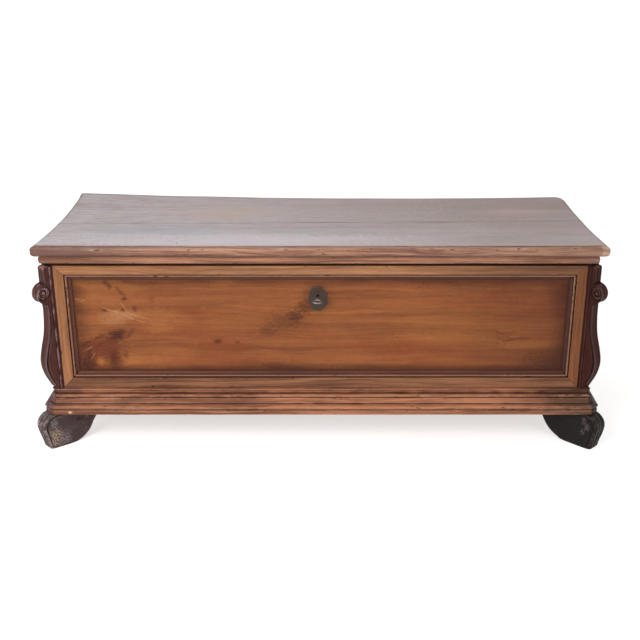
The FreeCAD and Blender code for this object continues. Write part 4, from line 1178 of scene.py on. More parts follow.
LID_THICKNESS = 0.034
LID_CUP = 0.009
LID_FALL = 0.014
LID_EDGE_RUN = 0.012
LID_FITTING_GAP = 0.0003
LID_JOINT_LEFT_SHARE = 0.455
LID_JOINT_RIGHT_SHARE = 0.515
SKIRT_TOP = SKIRT_BOTTOM + SKIRT_HEIGHT
LID_DEPTH = BACK - LID_FRONT
LID_TILT = math.atan2(LID_FALL, LID_DEPTH)
HALF_CHORD = LID_DEPTH / 2.0 / math.cos(LID_TILT)
CUP_RADIUS = (HALF_CHORD ** 2 + LID_CUP ** 2) / (2.0 * LID_CUP)
AXIS_Y = (BACK + LID_FRONT) / 2.0 + (CUP_RADIUS - LID_CUP) * math.sin(LID_TILT)
AXIS_Z = SKIRT_TOP - LID_FALL / 2.0 + (CUP_RADIUS - LID_CUP) * math.cos(LID_TILT)


def cupped(y, rise):
    """Height of the lid's arc at a depth and a rise above its underside."""
    return AXIS_Z - np.sqrt((CUP_RADIUS - rise) ** 2 - (y - AXIS_Y) ** 2)


def warp(x, y, share, sizes):
    """How far the warped boards stand off the true arc; share is 0 at the underside and 1 at the top."""
    out = x / LID_HALF
    back = within((y - LID_FRONT) / LID_DEPTH * 2.0 - 1.0) ** 1.6
    front = within(1.0 - (y - LID_FRONT) / LID_DEPTH * 2.0) ** 1.6
    lift, sag, right = sizes.lid_left_lift, sizes.lid_back_sag, sizes.lid_right_sag
    lean = -(lift + right) / 2.0
    bow = (lift - right) / 2.0 + sag
    rear = (bow * out ** 2 + lean * out - sag) * back
    fore = -sizes.lid_front_sag * (1.0 - out ** 2) * front
    return (rear + fore) * share + np.maximum(rear, 0.0) * (1.0 - share) * 0.35


class BuildSkirt(bpy.types.Operator):
    """Moulded strips under the lid's front and ends, whose tops follow its cup"""

    bl_idname = "chest.skirt"
    bl_label = "Lid skirt"

    def execute(self, context):
        sizes = context.scene.chest_sizes
        face = eased(drawn(SKIRT_SHARES, SKIRT_THICKNESS, SKIRT_HEIGHT), 0.0007)
        near = face * (-1.0, 1.0) + (SKIRT_THICKNESS, 0.0)
        section = np.concatenate([near, [(SKIRT_THICKNESS, SKIRT_HEIGHT), (SKIRT_THICKNESS, 0.0)]])
        inner = SKIRT_FACE - SKIRT_THICKNESS
        behind = FRONT + SKIRT_THICKNESS
        faces = {-1: SKIRT_FACE + sizes.skirt_left, 1: SKIRT_FACE}
        lengths = {"lid_front_skirt": [(-faces[-1], FRONT), (-inner, behind), (inner, behind),
                                       (faces[1], FRONT)]}
        for side, prefix in SIDES:
            lengths["lid_" + prefix + "skirt"] = [(side * faces[side], FRONT), (side * inner, behind),
                                                  (side * inner, BACK), (side * faces[side], BACK)]
        colour = tones(srgb(164, 116, 92))
        woods = [walnut("skirt_front", ALONG_X, 16.0, colour, wear=0.6, contrast=1.9,
                        smoke=[(0.60, 0.85, 0.6, srgb(140, 112, 108)),
                               (-0.45, -0.75, 0.5, srgb(110, 70, 54))]),
                 walnut("skirt_side", ALONG_Y, 17.0, colour)]
        for seed, (name, plan) in enumerate(lengths.items()):
            corners = [(x, y, SKIRT_BOTTOM) for x, y in plan]
            joints = np.flatnonzero(section[:, 1] < SKIRT_JOINT)
            points = mitred(section, corners, UP, 500 + 10 * seed, sizes.sway, 70, step=0.006, back=2)
            x, y, z = points[..., 0], points[..., 1], points[..., 2]
            top = cupped(y, 0.0) - LID_FITTING_GAP + warp(x, y, 0.0, sizes)
            points[..., 2] = SKIRT_BOTTOM + (z - SKIRT_BOTTOM) * (top - SKIRT_BOTTOM) / SKIRT_HEIGHT
            strip(name, points, "lid", "lid_walnut", woods[min(seed, 1)], joints)
        return {"FINISHED"}


def lid_plank(name, plan, moulded, seed, sizes):
    """One board as nested loops of its plan: the underside and the top run in to its middle line.

    A loop at an inset d and a rise h is the plan moved in by d at its moulded sides, and lies at the
    height of the lid's arc there, plus the warp, long shallow dips, and chips on the edge.
    """
    edge = eased(drawn(LID_EDGE_SHARES, LID_EDGE_RUN, LID_THICKNESS, (1.0, 0.0)))
    rise = edge[:, 1]
    plain = 0.0012 * within((rise - LID_THICKNESS + 0.003) / 0.003) ** 2 + 0.0002
    spine = (plan[:, 1].max() + plan[:, 1].min()) / 2.0
    end = LID_HALF - (plan[:, 1].max() - plan[:, 1].min()) / 2.0
    around = travelled(edge)
    length = travelled(plan)
    arris = within((softened(edge, 24) - edge)[:, 0] / 0.0003)
    chips = bites(length[None], around[:, None], arris, 160, seed, 0.0016) * arris[:, None]
    waves = rumple(length[None], around[:, None], 0.09, 0.02, seed + 1) * sizes.sway
    inset = edge[:, :1] + chips + waves + sizes.sway
    drop = within((rise / LID_THICKNESS - 0.85) / 0.15)[:, None] * chips * 0.6
    loops = moulded(plan, inset, plain[:, None])
    levels = np.broadcast_to(rise[:, None], loops.shape[:2]) - drop
    shares = np.linspace(0.0, 1.0, 30)[1:] ** 1.3
    centre = np.stack([np.clip(plan[:, 0], -end, end), np.full(len(plan), spine)], axis=1)
    top = loops[-1] + shares[:, None, None] * (centre - loops[-1])
    bottom = (loops[0] + np.append(shares[::3], 1.0)[:, None, None] * (centre - loops[0]))[::-1]
    flat = np.concatenate([bottom, loops, top])
    height = np.concatenate([np.zeros(bottom.shape[:2]), levels, np.full(top.shape[:2], LID_THICKNESS)])
    x, y = flat[..., 0], flat[..., 1]
    share = within(height / LID_THICKNESS)
    dips = 0.0006 * rumple(x, y, 0.17, 0.055, seed + 2) + 0.00025 * rumple(x, y, 0.05, 0.022, seed + 3)
    z = cupped(y, height) + warp(x, y, share, sizes) + (dips - 0.0009) * share
    shell = Shell(name)
    shell.grid(np.stack([x, y, z], axis=-1), wrap=True)
    return shell


class BuildLid(bpy.types.Operator):
    """Two cupped, warped boards with a moulded edge and a slanting joint"""

    bl_idname = "chest.lid"
    bl_label = "Lid boards"

    def execute(self, context):
        sizes = context.scene.chest_sizes
        colours = context.scene.chest_colours
        wood = lid_wood("lid_boards", tones(colours.lid), tuple(colours.polish_fade_and_sheen))
        left = LID_FRONT + LID_DEPTH * LID_JOINT_LEFT_SHARE
        right = LID_FRONT + LID_DEPTH * LID_JOINT_RIGHT_SHARE

        def joint(x):
            return left + (right - left) * (x / LID_HALF + 1.0) / 2.0

        plan = stepped(np.array([(-LID_HALF, LID_FRONT), (LID_HALF, LID_FRONT), (LID_HALF, right),
                                 (-LID_HALF, left), (-LID_HALF, LID_FRONT)]), 0.006)[:-1]

        def front_board(points, inset, plain):
            seam = joint(points[:, 0])
            share = (points[:, 1] - LID_FRONT) / (seam - LID_FRONT)
            x = points[:, 0] * (1.0 - inset / LID_HALF)
            y = LID_FRONT + inset + share * (seam - plain - LID_FRONT - inset)
            return np.stack([x, y], axis=-1)

        shell = lid_plank("dressed_lid_front_plank", plan, front_board, 600, sizes)
        shell.finish("lid", "lid_walnut", wood, "lid_front_plank")
        corners = []
        for radius, side in ((sizes.right_corner, 1), (sizes.left_corner, -1)):
            turn = np.linspace(0.0, math.pi / 2.0, 9)
            arc = np.stack([side * (LID_HALF - radius + radius * np.cos(turn)),
                            BACK - radius + radius * np.sin(turn)], axis=1)
            corners.append(arc if side > 0 else arc[::-1])
        ends = np.array([(-LID_HALF, left), (LID_HALF, right)])
        plan = stepped(np.concatenate([ends, corners[0], corners[1], ends[:1]]), 0.006)[:-1]

        def rear_board(points, inset, plain):
            seam = joint(points[:, 0])
            share = (points[:, 1] - seam) / (BACK - seam)
            fade = within((BACK - points[:, 1]) / sizes.right_corner)
            x = points[:, 0] * (1.0 - (inset * fade + plain * (1.0 - fade)) / LID_HALF)
            y = seam + plain + share * (BACK - seam - 2.0 * plain)
            return np.stack([x, y], axis=-1)

        shell = lid_plank("dressed_lid_rear_plank", plan, rear_board, 620, sizes)
        shell.finish("lid", "lid_walnut", wood, "lid_rear_plank")
        return {"FINISHED"}


# Carved corners

def corner_axes(side):
    """Point on the cut corner's face at floor level, with the directions out of it and across it."""
    origin = np.array((side * (CASE_HALF - CORNER_CUT / 2.0), FRONT + CORNER_CUT / 2.0, 0.0))
    return origin, np.array((side * DIAGONAL, -DIAGONAL, 0.0)), np.array((side * DIAGONAL, DIAGONAL, 0.0))


def loaf(name, line, spine, stations, inset, carve, rim, axes, rings):
    """A carved block: an outline swept across its width, with two cheeks that run in to a spine.

    A row across the block moves the outline inwards along its normals by inset(across, share along the
    line). A cheek row mixes the rim with the spine, from 1 at the rim to 0. carve(out, up, mix) sinks the
    cheeks, and rim draws their edge in.
    """
    origin, out, across = axes
    normal = outwards(line)
    lengths = travelled(line)
    half = stations[-1]
    middle = line[None] - normal[None] * inset(stations[:, None], (lengths / lengths[-1])[None])[..., None]
    mixes = np.linspace(1.0, 0.0, rings + 1)[1:]
    flat = [middle]
    level = [np.broadcast_to(stations[:, None], middle.shape[:2])]
    for end, way in ((0, -1.0), (-1, 1.0)):
        cheek = spine[None] + mixes[:, None, None] * (middle[end] - spine)[None]
        sunk = carve(cheek[..., 0], cheek[..., 1], mixes[:, None])
        height = way * (half - sunk + rim * (1.0 - mixes[:, None] ** 6))
        height = np.broadcast_to(height, cheek.shape[:2])
        if end == 0:
            flat.insert(0, cheek[::-1])
            level.insert(0, height[::-1])
        else:
            flat.append(cheek)
            level.append(height)
    flat, level = np.concatenate(flat), np.concatenate(level)
    shell = Shell(name)
    shell.grid(origin + flat[..., :1] * out + level[..., None] * across + flat[..., 1:] * UP, wrap=True)
    return shell


BRACKET_REACH = 0.0375
BRACKET_HALF = 0.019
BRACKET_HEADROOM = 0.002
BRACKET_RIM = 0.0018
BEAD_PLACE = 0.0152
BEAD_HALF = 0.0038
HOLLOW_HALF = 0.0114
FLUTE_HALF = 0.0058
NECK_SHARE = 0.66
BLOCK_SHARE = 0.80
CHEEK_LINE = 0.0048
CHEEK_LINE_WIDTH = 0.0011
# The volute: its eye in shares of the bracket, its button, and the scroll cut round it
EYE_OUT_SHARE = 0.62
EYE_UP_SHARE = 0.806
BUTTON_RADIUS = 0.0052
BUTTON_RISE = 0.0030
SCROLL_START = 0.0045
SCROLL_PITCH = 0.0062
SCROLL_WIDTH = 0.0013
SCROLL_DEPTH = 0.0018
SCROLL_RADIUS = 0.0155
SCROLL_FADE = 0.003
LEDGE_DEPTH = 0.0022
# The corner strip's face: grime by the bracket's block, and a painted highlight on the arris of the left
# one
STRIP_SIDE = 0.0034
STRIP_GRIME_TOP = 0.0056
STRIP_HIGHLIGHT_LOW = 0.0062


class BuildBrackets(bpy.types.Operator):
    """Scroll brackets: block, volute, neck and belly, hollowed between beads, and the strips behind them"""

    bl_idname = "chest.brackets"
    bl_label = "Scroll brackets"

    def execute(self, context):
        # By side: seed, how much further out the volute stands, share of the tone, wear, polish and gloss;
        # the right one's lower share of the tone and darker wear colour are painted shade
        looks = {-1: (700, 0.0026, 1.0, srgb(150, 116, 116), 0.36, 0.18),
                 1: (720, 0.0, 0.62, srgb(86, 58, 52), 0.46, 0.10)}
        height = FRAME_TOP - BASE_TOP - BRACKET_HEADROOM
        line = eased(drawn(BRACKET_SHARES, BRACKET_REACH, height), 0.0016)
        line[:, 0] = np.maximum(line[:, 0], 0.0)
        plain = line
        stations = np.linspace(-1.0, 1.0, 61)
        stations = np.sign(stations) * np.abs(stations) ** 0.85 * (BRACKET_HALF - BRACKET_RIM)
        eye = np.array((BRACKET_REACH * EYE_OUT_SHARE, height * EYE_UP_SHARE))
        for side, prefix in SIDES:
            seed, swell, share, rubbed, polish, gloss = looks[side]
            head = within((plain[:, 1] / height - NECK_SHARE) / 0.06)
            head = head * within(plain[:, 0] / 0.004)
            line = plain + (swell, 0.0) * head[:, None]
            spine = np.stack([np.zeros(len(line)), line[:, 1]], axis=1)

            def inset(across, share):
                """Depth of the hollow between the beads, fluted on the block, worked out in millimetres."""
                place = np.abs(across)
                bead = 1.1 * ((place - BEAD_PLACE) / BEAD_HALF) ** 2
                hollow = 3.0 + 1.2 * np.cos(within(place / HOLLOW_HALF) * math.pi)
                fluted = 1.5 + 1.3 * np.cos(across / FLUTE_HALF * math.pi)
                top = within((share - BLOCK_SHARE) / 0.04)
                depth = np.where(place > HOLLOW_HALF, bead, hollow * (1.0 - top) + fluted * top)
                return np.minimum(depth, 5.0) * 0.001 * np.clip((1.0 - share) / 0.03, 0.3, 1.0) - 0.0008

            def carve(out, up, mix):
                """Depth of the cheek: a line inside the outline, and a spiral groove round the button."""
                rim = np.interp(up, line[:, 1], line[:, 0])
                edge = np.exp(-(((rim - out) - CHEEK_LINE) / CHEEK_LINE_WIDTH) ** 2) * CHEEK_LINE_WIDTH
                edge = edge * (up < height * NECK_SHARE)
                swing = np.arctan2(up - eye[1], out - eye[0]) * side
                radius = np.hypot(out - eye[0], up - eye[1])
                turn = (radius - SCROLL_START) / SCROLL_PITCH - swing / TURN
                groove = ((turn - np.round(turn)) * SCROLL_PITCH) / SCROLL_WIDTH
                groove = np.exp(-groove ** 2) * SCROLL_DEPTH
                scroll = within((SCROLL_RADIUS - radius) / SCROLL_FADE)
                boss = -BUTTON_RISE * np.sqrt(within(1.0 - (radius / BUTTON_RADIUS) ** 2))
                ledge = LEDGE_DEPTH * within((radius - SCROLL_RADIUS) / SCROLL_FADE)
                dents = 0.0003 * rumple(out, up, 0.012, 0.03, seed)
                around = np.where(radius < BUTTON_RADIUS, boss, groove * scroll)
                return around + edge + ledge + dents * (radius > 0.006)

            origin, out, across = corner_axes(side)
            axes = (origin + out * CORNER_STRIP + UP * BASE_TOP, out, across)
            shell = loaf("dressed_" + prefix + "scroll_bracket", line, spine, stations, inset, carve,
                         BRACKET_RIM, axes, 26)
            colour = tones(tuple(value * share for value in context.scene.chest_colours.dark), 0.40)
            wood = walnut(prefix + "bracket", ALONG_Z, 20.0 + side, colour, 0.0004, polish,
                          dirt_colour=srgb(22, 9, 9), wear_colour=rubbed, gloss=gloss)
            shell.finish("case", "dark_walnut", wood, prefix + "scroll_bracket")
            half = CORNER_CUT * DIAGONAL
            flat = [(0.0, 0.0), (0.0, CORNER_STRIP), (2.0 * half, CORNER_STRIP), (2.0 * half, 0.0)]
            section = eased(np.array(flat), rounds=3)
            beside = section[:, 0] < STRIP_SIDE
            grimy = beside & (section[:, 1] < STRIP_GRIME_TOP)
            # Painted highlight: the left strip's arris by the bracket is painted pale.
            worn = beside & (section[:, 1] > STRIP_HIGHLIGHT_LOW) & (side < 0)
            near, far = (origin + way * half + UP * BASE_TOP for way in (-across, across))
            lift = UP * (FRAME_TOP - BASE_TOP)
            points = mitred(section, [near, far, far + lift, near + lift], out, seed + 5, 0.0003, 14)
            strip(prefix + "corner_strip", points, "case", "dark_walnut", wood, np.flatnonzero(grimy),
                  np.flatnonzero(worn))
        return {"FINISHED"}


FOOT_HALF = 0.027
FOOT_OUTWARD = 0.0745
FOOT_INWARD = 0.130
FOOT_RIM = 0.0010
TOE_DEPTH = 0.0048
TOES = 3
FOOT_TAN, FOOT_LILAC, FOOT_SHEEN = srgb(184, 160, 142), srgb(158, 146, 154), srgb(116, 100, 100)
# Patches of the front feet by side, worn on the left and painted reflections on the right: centre, reach,
# strength and tint
FOOT_PATCHES = {
    -1: [((-0.779, -0.307, 0.034), 0.034, 0.9, FOOT_TAN),
         ((-0.755, -0.285, 0.022), 0.024, 0.7, FOOT_LILAC),
         ((-0.782, -0.305, 0.080), 0.016, 0.8, FOOT_LILAC)],
    1: [((0.782, -0.305, 0.071), 0.013, 0.9, FOOT_SHEEN),
        ((0.772, -0.300, 0.088), 0.011, 0.7, FOOT_SHEEN),
        ((0.770, -0.300, 0.050), 0.010, 0.7, FOOT_SHEEN)],
}


class BuildFeet(bpy.types.Operator):
    """Scroll feet: ridged noses and domed cheeks in front, plain curved feet behind"""

    bl_idname = "chest.feet"
    bl_label = "Feet"

    def execute(self, context):
        colour = tuple(context.scene.chest_colours.foot)
        height = BASE_BOTTOM
        nose = drawn(NOSE_SHARES, FOOT_OUTWARD, height, (0.0, 1.0))
        stations = np.linspace(-1.0, 1.0, 67) * (FOOT_HALF - FOOT_RIM)
        # By side: seed, tones, wear, heel, and the nose's lumps, rounding, swell and taper; the right
        # foot's tones, cut to a tenth, and its darker wear are painted shade
        looks = {
            -1: (800, tones(colour, 0.35), srgb(150, 136, 134), LEFT_HEEL_SHARES,
                 0.0006, 0.0012, 0.0050, 0.38),
            1: (820, tones(tuple(value * 0.10 for value in colour), 0.30), srgb(58, 46, 38),
                RIGHT_HEEL_SHARES, 0.0050, 0.0045, 0.0078, 0.16),
        }
        for side, prefix in SIDES:
            seed, wood_tones, rubbed, heel_shares, lumpy, rounding, swell, taper = looks[side]
            heel = drawn(heel_shares, FOOT_INWARD, height, (nose[-1, 0] / FOOT_INWARD, 0.0))
            line = np.concatenate([nose, heel[1:], [(0.0, height)]])
            line = eased(line, 0.0016, 3)
            spine = np.broadcast_to(np.array((0.0, height * 0.52)), line.shape)

            def inset(across, share):
                """Depth of the nose's toes, rounded edges and lumps; the rest of the outline is plain."""
                ridge = np.abs(np.cos(across / (FOOT_HALF * 1.92 / TOES) * math.pi)) ** 0.6
                front = within((share - 0.08) / 0.07) * within((0.50 - share) / 0.05)
                edge = within((np.abs(across) / FOOT_HALF - 0.80) / 0.18) ** 2 * rounding
                knuckles = rumple(share, across, 0.055, 0.012, seed) * front
                rough = 0.0005 * rumple(share, across, 0.02, 0.008, seed + 1)
                fade = within((1.0 - share) / 0.02) * within(share / 0.02)
                depth = TOE_DEPTH * (1.0 - ridge) * front + edge + (0.5 - 0.5 * knuckles) * lumpy * front
                return (depth + np.abs(rough) - swell * front) * fade

            def carve(out, up, mix):
                """Depth of the cheek: rounded at its border and dented."""
                border = 0.0016 * within((mix - 0.80) / 0.20) ** 2 * (out > 0.0)
                dents = 0.0006 + 0.0006 * rumple(out, up, 0.030, 0.026, seed + 2)
                dents = dents + 0.0002 * rumple(out, up, 0.009, 0.009, seed + 3)
                return border + dents * (mix < 0.99)

            shell = loaf("dressed_" + prefix + "front_foot", line, spine, stations, inset, carve,
                         FOOT_RIM, corner_axes(side), 24)
            points = shell.points[0]
            points[:, 2] = np.maximum(points[:, 2], 0.0)
            origin, out, across = corner_axes(side)
            nosewards = within((points - origin).dot(out) / FOOT_OUTWARD)
            narrowing = taper * nosewards * (1.0 - points[:, 2] / height)
            points -= ((points - origin).dot(across) * narrowing)[:, None] * across
            wood = foot_wood(prefix + "foot", wood_tones, FOOT_PATCHES[side], rubbed)
            shell.finish("case", "dark_walnut", wood, prefix + "front_foot")
        low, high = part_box("right_rear_foot")
        line = drawn(REAR_FOOT_SHARES, BACK - low.y, height)
        line = eased(line, 0.003)
        spine = np.broadcast_to(np.array(((BACK - low.y) * 0.35, height * 0.6)), line.shape)
        half = (high.x - low.x) / 2.0
        stations = np.linspace(-1.0, 1.0, 25) * half

        def rounded(across, share):
            return 0.0004 + 0.0012 * (np.abs(across) / half) ** 12

        def flat_cheek(out, up, mix):
            return 0.0002

        for side, prefix in SIDES:
            axes = (np.array((side * (low.x + half), BACK, 0.0)), np.array((0.0, -1.0, 0.0)),
                    np.array(X_WAY))
            shell = loaf("dressed_" + prefix + "rear_foot", line, spine, stations, rounded, flat_cheek, 0.0,
                         axes, 8)
            wood = walnut(prefix + "rear_foot", ALONG_Y, 24.0 + side, tones(srgb(92, 58, 44), 0.4))
            shell.finish("case", "dark_walnut", wood, prefix + "rear_foot")
        return {"FINISHED"}


# Iron

KEYHOLE_SLOT_HALF = 0.0029
KEYHOLE_RADIUS = 0.0044
KEYHOLE_DROP = 0.0204
KEY_WIRE = 0.003
KEY_RING = 0.013
COLLAR_PLACE = 0.0045
# The key's turned shaft as places and radii: from the bow, from the collar and from the tip
SHAFT_START = [(0.0, 0.0), (0.0, 0.003), (0.001, 0.004)]
SHAFT_COLLAR = [(0.0, 0.0042), (0.0006, 0.0056), (0.0014, 0.0064), (0.0022, 0.0060), (0.0030, 0.0064),
                (0.0036, 0.0056), (0.0044, 0.0040)]
SHAFT_TIP = [(-0.001, 0.0040), (0.0, 0.0034), (0.0, 0.0)]
# Its bit: how far back from the tip it starts, its half thickness at the shaft and at its edge, and its
# steps with both ends along the shaft and the share of its reach
BIT_BACK = 0.0155
BIT_ROOT_HALF = 0.0023
BIT_EDGE_HALF = 0.0025
BIT_STEPS = [(0.0, 0.0030, 1.0), (0.0030, 0.0042, 0.72), (0.0042, 0.0072, 1.0), (0.0072, 0.0082, 0.66),
             (0.0082, 0.0110, 1.0)]
# Nails: offsets from the plate's middle along X and Z, shares of a strap's length, and inset on the lock
PLATE_NAILS = [(0.0045, 0.0290), (0.0105, -0.0040), (-0.017, 0.024), (0.017, -0.026), (-0.015, -0.027)]
CASE_STRAP_NAILS = (0.12, 0.40, 0.68)
LID_STRAP_NAILS = (0.08, 0.32, 0.56, 0.80)
LOCK_NAIL_INSET = 0.010
STRAP_THICKNESS = 0.003
PLATE_NAIL_SINK = 0.0004


def polar_reach(outline, angles):
    """Distance of an outline from its origin in given directions, read between its points."""
    dense = stepped(np.concatenate([outline, outline[:1]]), 0.0002)
    turn = np.arctan2(dense[:, 1], dense[:, 0])
    order = np.argsort(turn)
    return np.interp(angles, turn[order], np.hypot(*dense[order].T), period=TURN)


class BuildIronwork(bpy.types.Operator):
    """Key plate, key, straps, lock and the nails that hold them"""

    bl_idname = "chest.ironwork"
    bl_label = "Ironwork"

    def execute(self, context):
        colours = context.scene.chest_colours
        forged = iron("forged_iron", tuple(colours.iron), srgb(94, 58, 38), 0.5)
        black = iron("black_iron", srgb(62, 43, 34), srgb(84, 48, 34), 0.62, rust_share=0.6, relief=0.0006,
                     metallic=0.12, rubbed=0.12)
        bright = iron("bright_iron", srgb(112, 100, 96), srgb(78, 62, 58), 0.36, relief=0.0002,
                      metallic=0.80, rubbed=0.4, behind=KEY_LOW.y + 0.030)
        for node in ("lock_case", "lock_bolt", "lid_staple", "left_lid_strap", "right_lid_strap",
                     "left_case_strap", "right_case_strap", "left_hinge_pin", "right_hinge_pin"):
            surface(node, forged)
        key_plate(black)
        key(bright)
        nails(context.scene.chest_sizes.nail, forged, black)
        return {"FINISHED"}


def key_plate(material):
    """The plate as rings about its middle, from the keyhole's edge to an uneven octagon and back."""
    middle = (PLATE_LOW + PLATE_HIGH) / 2.0
    half, tall = (PLATE_HIGH.x - PLATE_LOW.x) / 2.0, (PLATE_HIGH.z - PLATE_LOW.z) / 2.0
    key_up = (KEY_LOW.z + KEY_HIGH.z) / 2.0 - middle.z
    foot = key_up - KEYHOLE_DROP
    octagon = np.array(PLATE_SHARES) * (half, tall)
    meeting = math.acos(KEYHOLE_SLOT_HALF / KEYHOLE_RADIUS)
    turn = np.linspace(-meeting, math.pi + meeting, 40)
    arc = np.stack([KEYHOLE_RADIUS * np.cos(turn), key_up + KEYHOLE_RADIUS * np.sin(turn)], axis=1)
    keyhole = np.concatenate([arc, [(-KEYHOLE_SLOT_HALF, foot), (KEYHOLE_SLOT_HALF, foot)]])
    angles = np.linspace(0.0, TURN, 181)[:-1]
    outer = polar_reach(octagon, angles) * (0.985 + 0.012 * rumple(angles, 0.0, 0.35, 1.0, 900))
    inner = polar_reach(keyhole, angles)
    mixes = np.concatenate([[0.0, 0.0, 0.02], np.linspace(0.06, 0.94, 20), [0.98, 1.0, 1.0, 0.5, 0.0]])
    lifts = np.concatenate([[0.0, 0.75, 1.0], np.ones(20), [0.95, 0.6, 0.0, 0.0, 0.0]])
    reach = inner + mixes[:, None] * (outer - inner)
    x = middle.x + reach * np.cos(angles)
    z = middle.z + reach * np.sin(angles)
    dents = 0.00045 * rumple(x, z, 0.009, 0.009, 901) - 0.0005
    y = PLATE_HIGH.y - lifts[:, None] * (PLATE_HIGH.y - PLATE_LOW.y + dents * (lifts[:, None] > 0.9))
    shell = Shell("dressed_escutcheon")
    shell.grid(np.stack([x, y, z], axis=-1), wrap=True)
    shell.finish("case", "black_iron", material, "escutcheon")


def key(material):
    """The key: a turned shaft and collar, a ring bow by the torus formula, and a bit with two cuts."""
    middle_x, middle_z = KEY_HIGH.x - KEY_RING - KEY_WIRE, (KEY_LOW.z + KEY_HIGH.z) / 2.0
    bow = KEY_LOW.y + KEY_RING + KEY_WIRE
    start, end = bow + KEY_RING - KEY_WIRE * 0.4, KEY_HIGH.y
    runs = ((SHAFT_START, start), (SHAFT_COLLAR, start + COLLAR_PLACE), (SHAFT_TIP, end))
    profile = np.concatenate([np.array(run) + (place, 0.0) for run, place in runs])
    places, radii = profile[:, :1], profile[:, 1:]
    turn = np.linspace(0.0, TURN, 29)[:-1]
    shell = Shell("dressed_key")
    shell.grid(np.stack([middle_x + radii * np.cos(turn), places + 0.0 * turn,
                         middle_z + radii * np.sin(turn)], axis=-1), wrap=True)
    u = np.linspace(0.0, TURN, 65)[:, None]
    v = np.linspace(0.0, TURN, 21)[None, :-1]
    around = KEY_RING + KEY_WIRE * np.cos(v)
    shell.grid(np.stack([middle_x + around * np.sin(u), bow + around * np.cos(u),
                         middle_z + KEY_WIRE * 0.85 * np.sin(v) + 0.0 * u], axis=-1), wrap=True)
    for first, last, reach in BIT_STEPS:
        tip = middle_x + (KEY_LOW.x - middle_x) * reach
        section = np.array([(middle_x, -BIT_ROOT_HALF), (tip, -BIT_EDGE_HALF), (tip, BIT_EDGE_HALF),
                            (middle_x, BIT_ROOT_HALF)])
        rows = np.array([[end - BIT_BACK + first], [end - BIT_BACK + last]])
        shell.bar(np.stack([section[:, 0] + 0.0 * rows, rows + 0.0 * section[:, 0],
                            middle_z + section[:, 1] + 0.0 * rows], axis=-1))
    shell.finish("key", "bright_iron", material, "key", sharp=35.0)


def nails(radius, forged, black):
    """Domed nail heads on plate, straps and lock, lopsided by the formula 1 + a sin 2t + b cos 3t."""
    dome = np.linspace(0.0, math.pi / 2.0, 6)
    turn = np.linspace(0.0, TURN, 15)[:-1]
    plate = (PLATE_LOW + PLATE_HIGH) / 2.0
    on_plate, on_case, on_lid = [], [], []
    for x, z in PLATE_NAILS:
        place = (plate.x + x, PLATE_LOW.y + PLATE_NAIL_SINK, plate.z + z)
        on_plate.append((place, (0.0, -1.0, 0.0)))
    for _, prefix in SIDES:
        low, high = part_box(prefix + "case_strap")
        middle = (low.x + high.x) / 2.0
        for share in CASE_STRAP_NAILS:
            place = (middle, BACK + STRAP_THICKNESS, low.z + (high.z - low.z) * share)
            on_case.append((place, Y_WAY))
        low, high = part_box(prefix + "lid_strap")
        for share in LID_STRAP_NAILS:
            y = low.y + (BACK - low.y) * share
            place = (middle, y, float(cupped(y, 0.0)) - STRAP_THICKNESS)
            on_lid.append((place, (0.0, 0.0, -1.0)))
    low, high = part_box("lock_case")
    for x in (low.x + LOCK_NAIL_INSET, high.x - LOCK_NAIL_INSET):
        for z in (low.z + LOCK_NAIL_INSET, high.z - LOCK_NAIL_INSET):
            on_case.append(((x, high.y, z), Y_WAY))
    rows = (("case_plate_nails", "case", "black_iron", black, on_plate),
            ("case_strap_nails", "case", "wrought_iron", forged, on_case),
            ("lid_strap_nails", "lid", "wrought_iron", forged, on_lid))
    for name, body, slot, material, places in rows:
        shell = Shell(name)
        for seed, (place, direction) in enumerate(places):
            along = np.array(direction)
            beside = np.array(X_WAY)
            size = radius * (1.0 + 0.12 * math.sin(seed * 2.3))
            wobble = 1.0 + 0.06 * np.sin(2.0 * turn + seed) + 0.04 * np.cos(3.0 * turn + 2.0 * seed)
            ring = np.cos(turn)[:, None] * beside + np.sin(turn)[:, None] * np.cross(along, beside)
            reach = size * np.sin(dome)[:, None, None] * wobble[None, :, None]
            lift = (size * 0.42 * np.cos(dome) - 0.0002)[:, None, None]
            head = np.array(place) + ring * reach + along * lift
            closing = np.broadcast_to(np.array(place) - along * 0.0005, head[-1:].shape)
            shell.grid(np.concatenate([head, head[-1:] - along * 0.0003, closing]), wrap=True)
        shell.finish(body, slot, material)


class DressCarcase(bpy.types.Operator):
    """Woods of the boards that keep their built shape"""

    bl_idname = "chest.carcase"
    bl_label = "Carcase"

    def execute(self, context):
        colours = context.scene.chest_colours
        panel = tuple(colours.panel)
        surface("front_board", panel_wood("front_board", tones(panel, 0.40)))
        post = walnut("corner_posts", ALONG_Z, 30.0, tones(srgb(96, 58, 40)))
        side = walnut("side_boards", ALONG_Y, 31.0, tones(panel, 0.4), contrast=1.1)
        poplar = tones(tuple(colours.poplar), 0.3)
        level = raw_boards("back_boards", ALONG_X, 32.0, poplar, Z_WAY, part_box("lower_back_plank")[1].z)
        floor = raw_boards("bottom_boards", ALONG_X_LYING, 33.0, poplar, Y_WAY,
                           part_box("front_bottom_plank")[1].y)
        for _, prefix in SIDES:
            surface(prefix + "corner_post", post)
            surface(prefix + "side_board", side)
        for name in ("upper", "lower"):
            surface(name + "_back_plank", level)
        for name in ("front", "rear"):
            surface(name + "_bottom_plank", floor)
        return {"FINISHED"}


# Stage

CAMERA_PLACE = (0.034, -2.956, 1.428)
CAMERA_SHIFT = (-0.0193, 0.0010)
CAMERA_PITCH = 21.11
IMAGE_SIZE = 640.0
FOCAL_PIXELS = 1010.0
SENSOR = 36.0
FLOOR_REACH = 40.0
FLOOR_RINGS = 12
FLOOR_SPOKES = 48
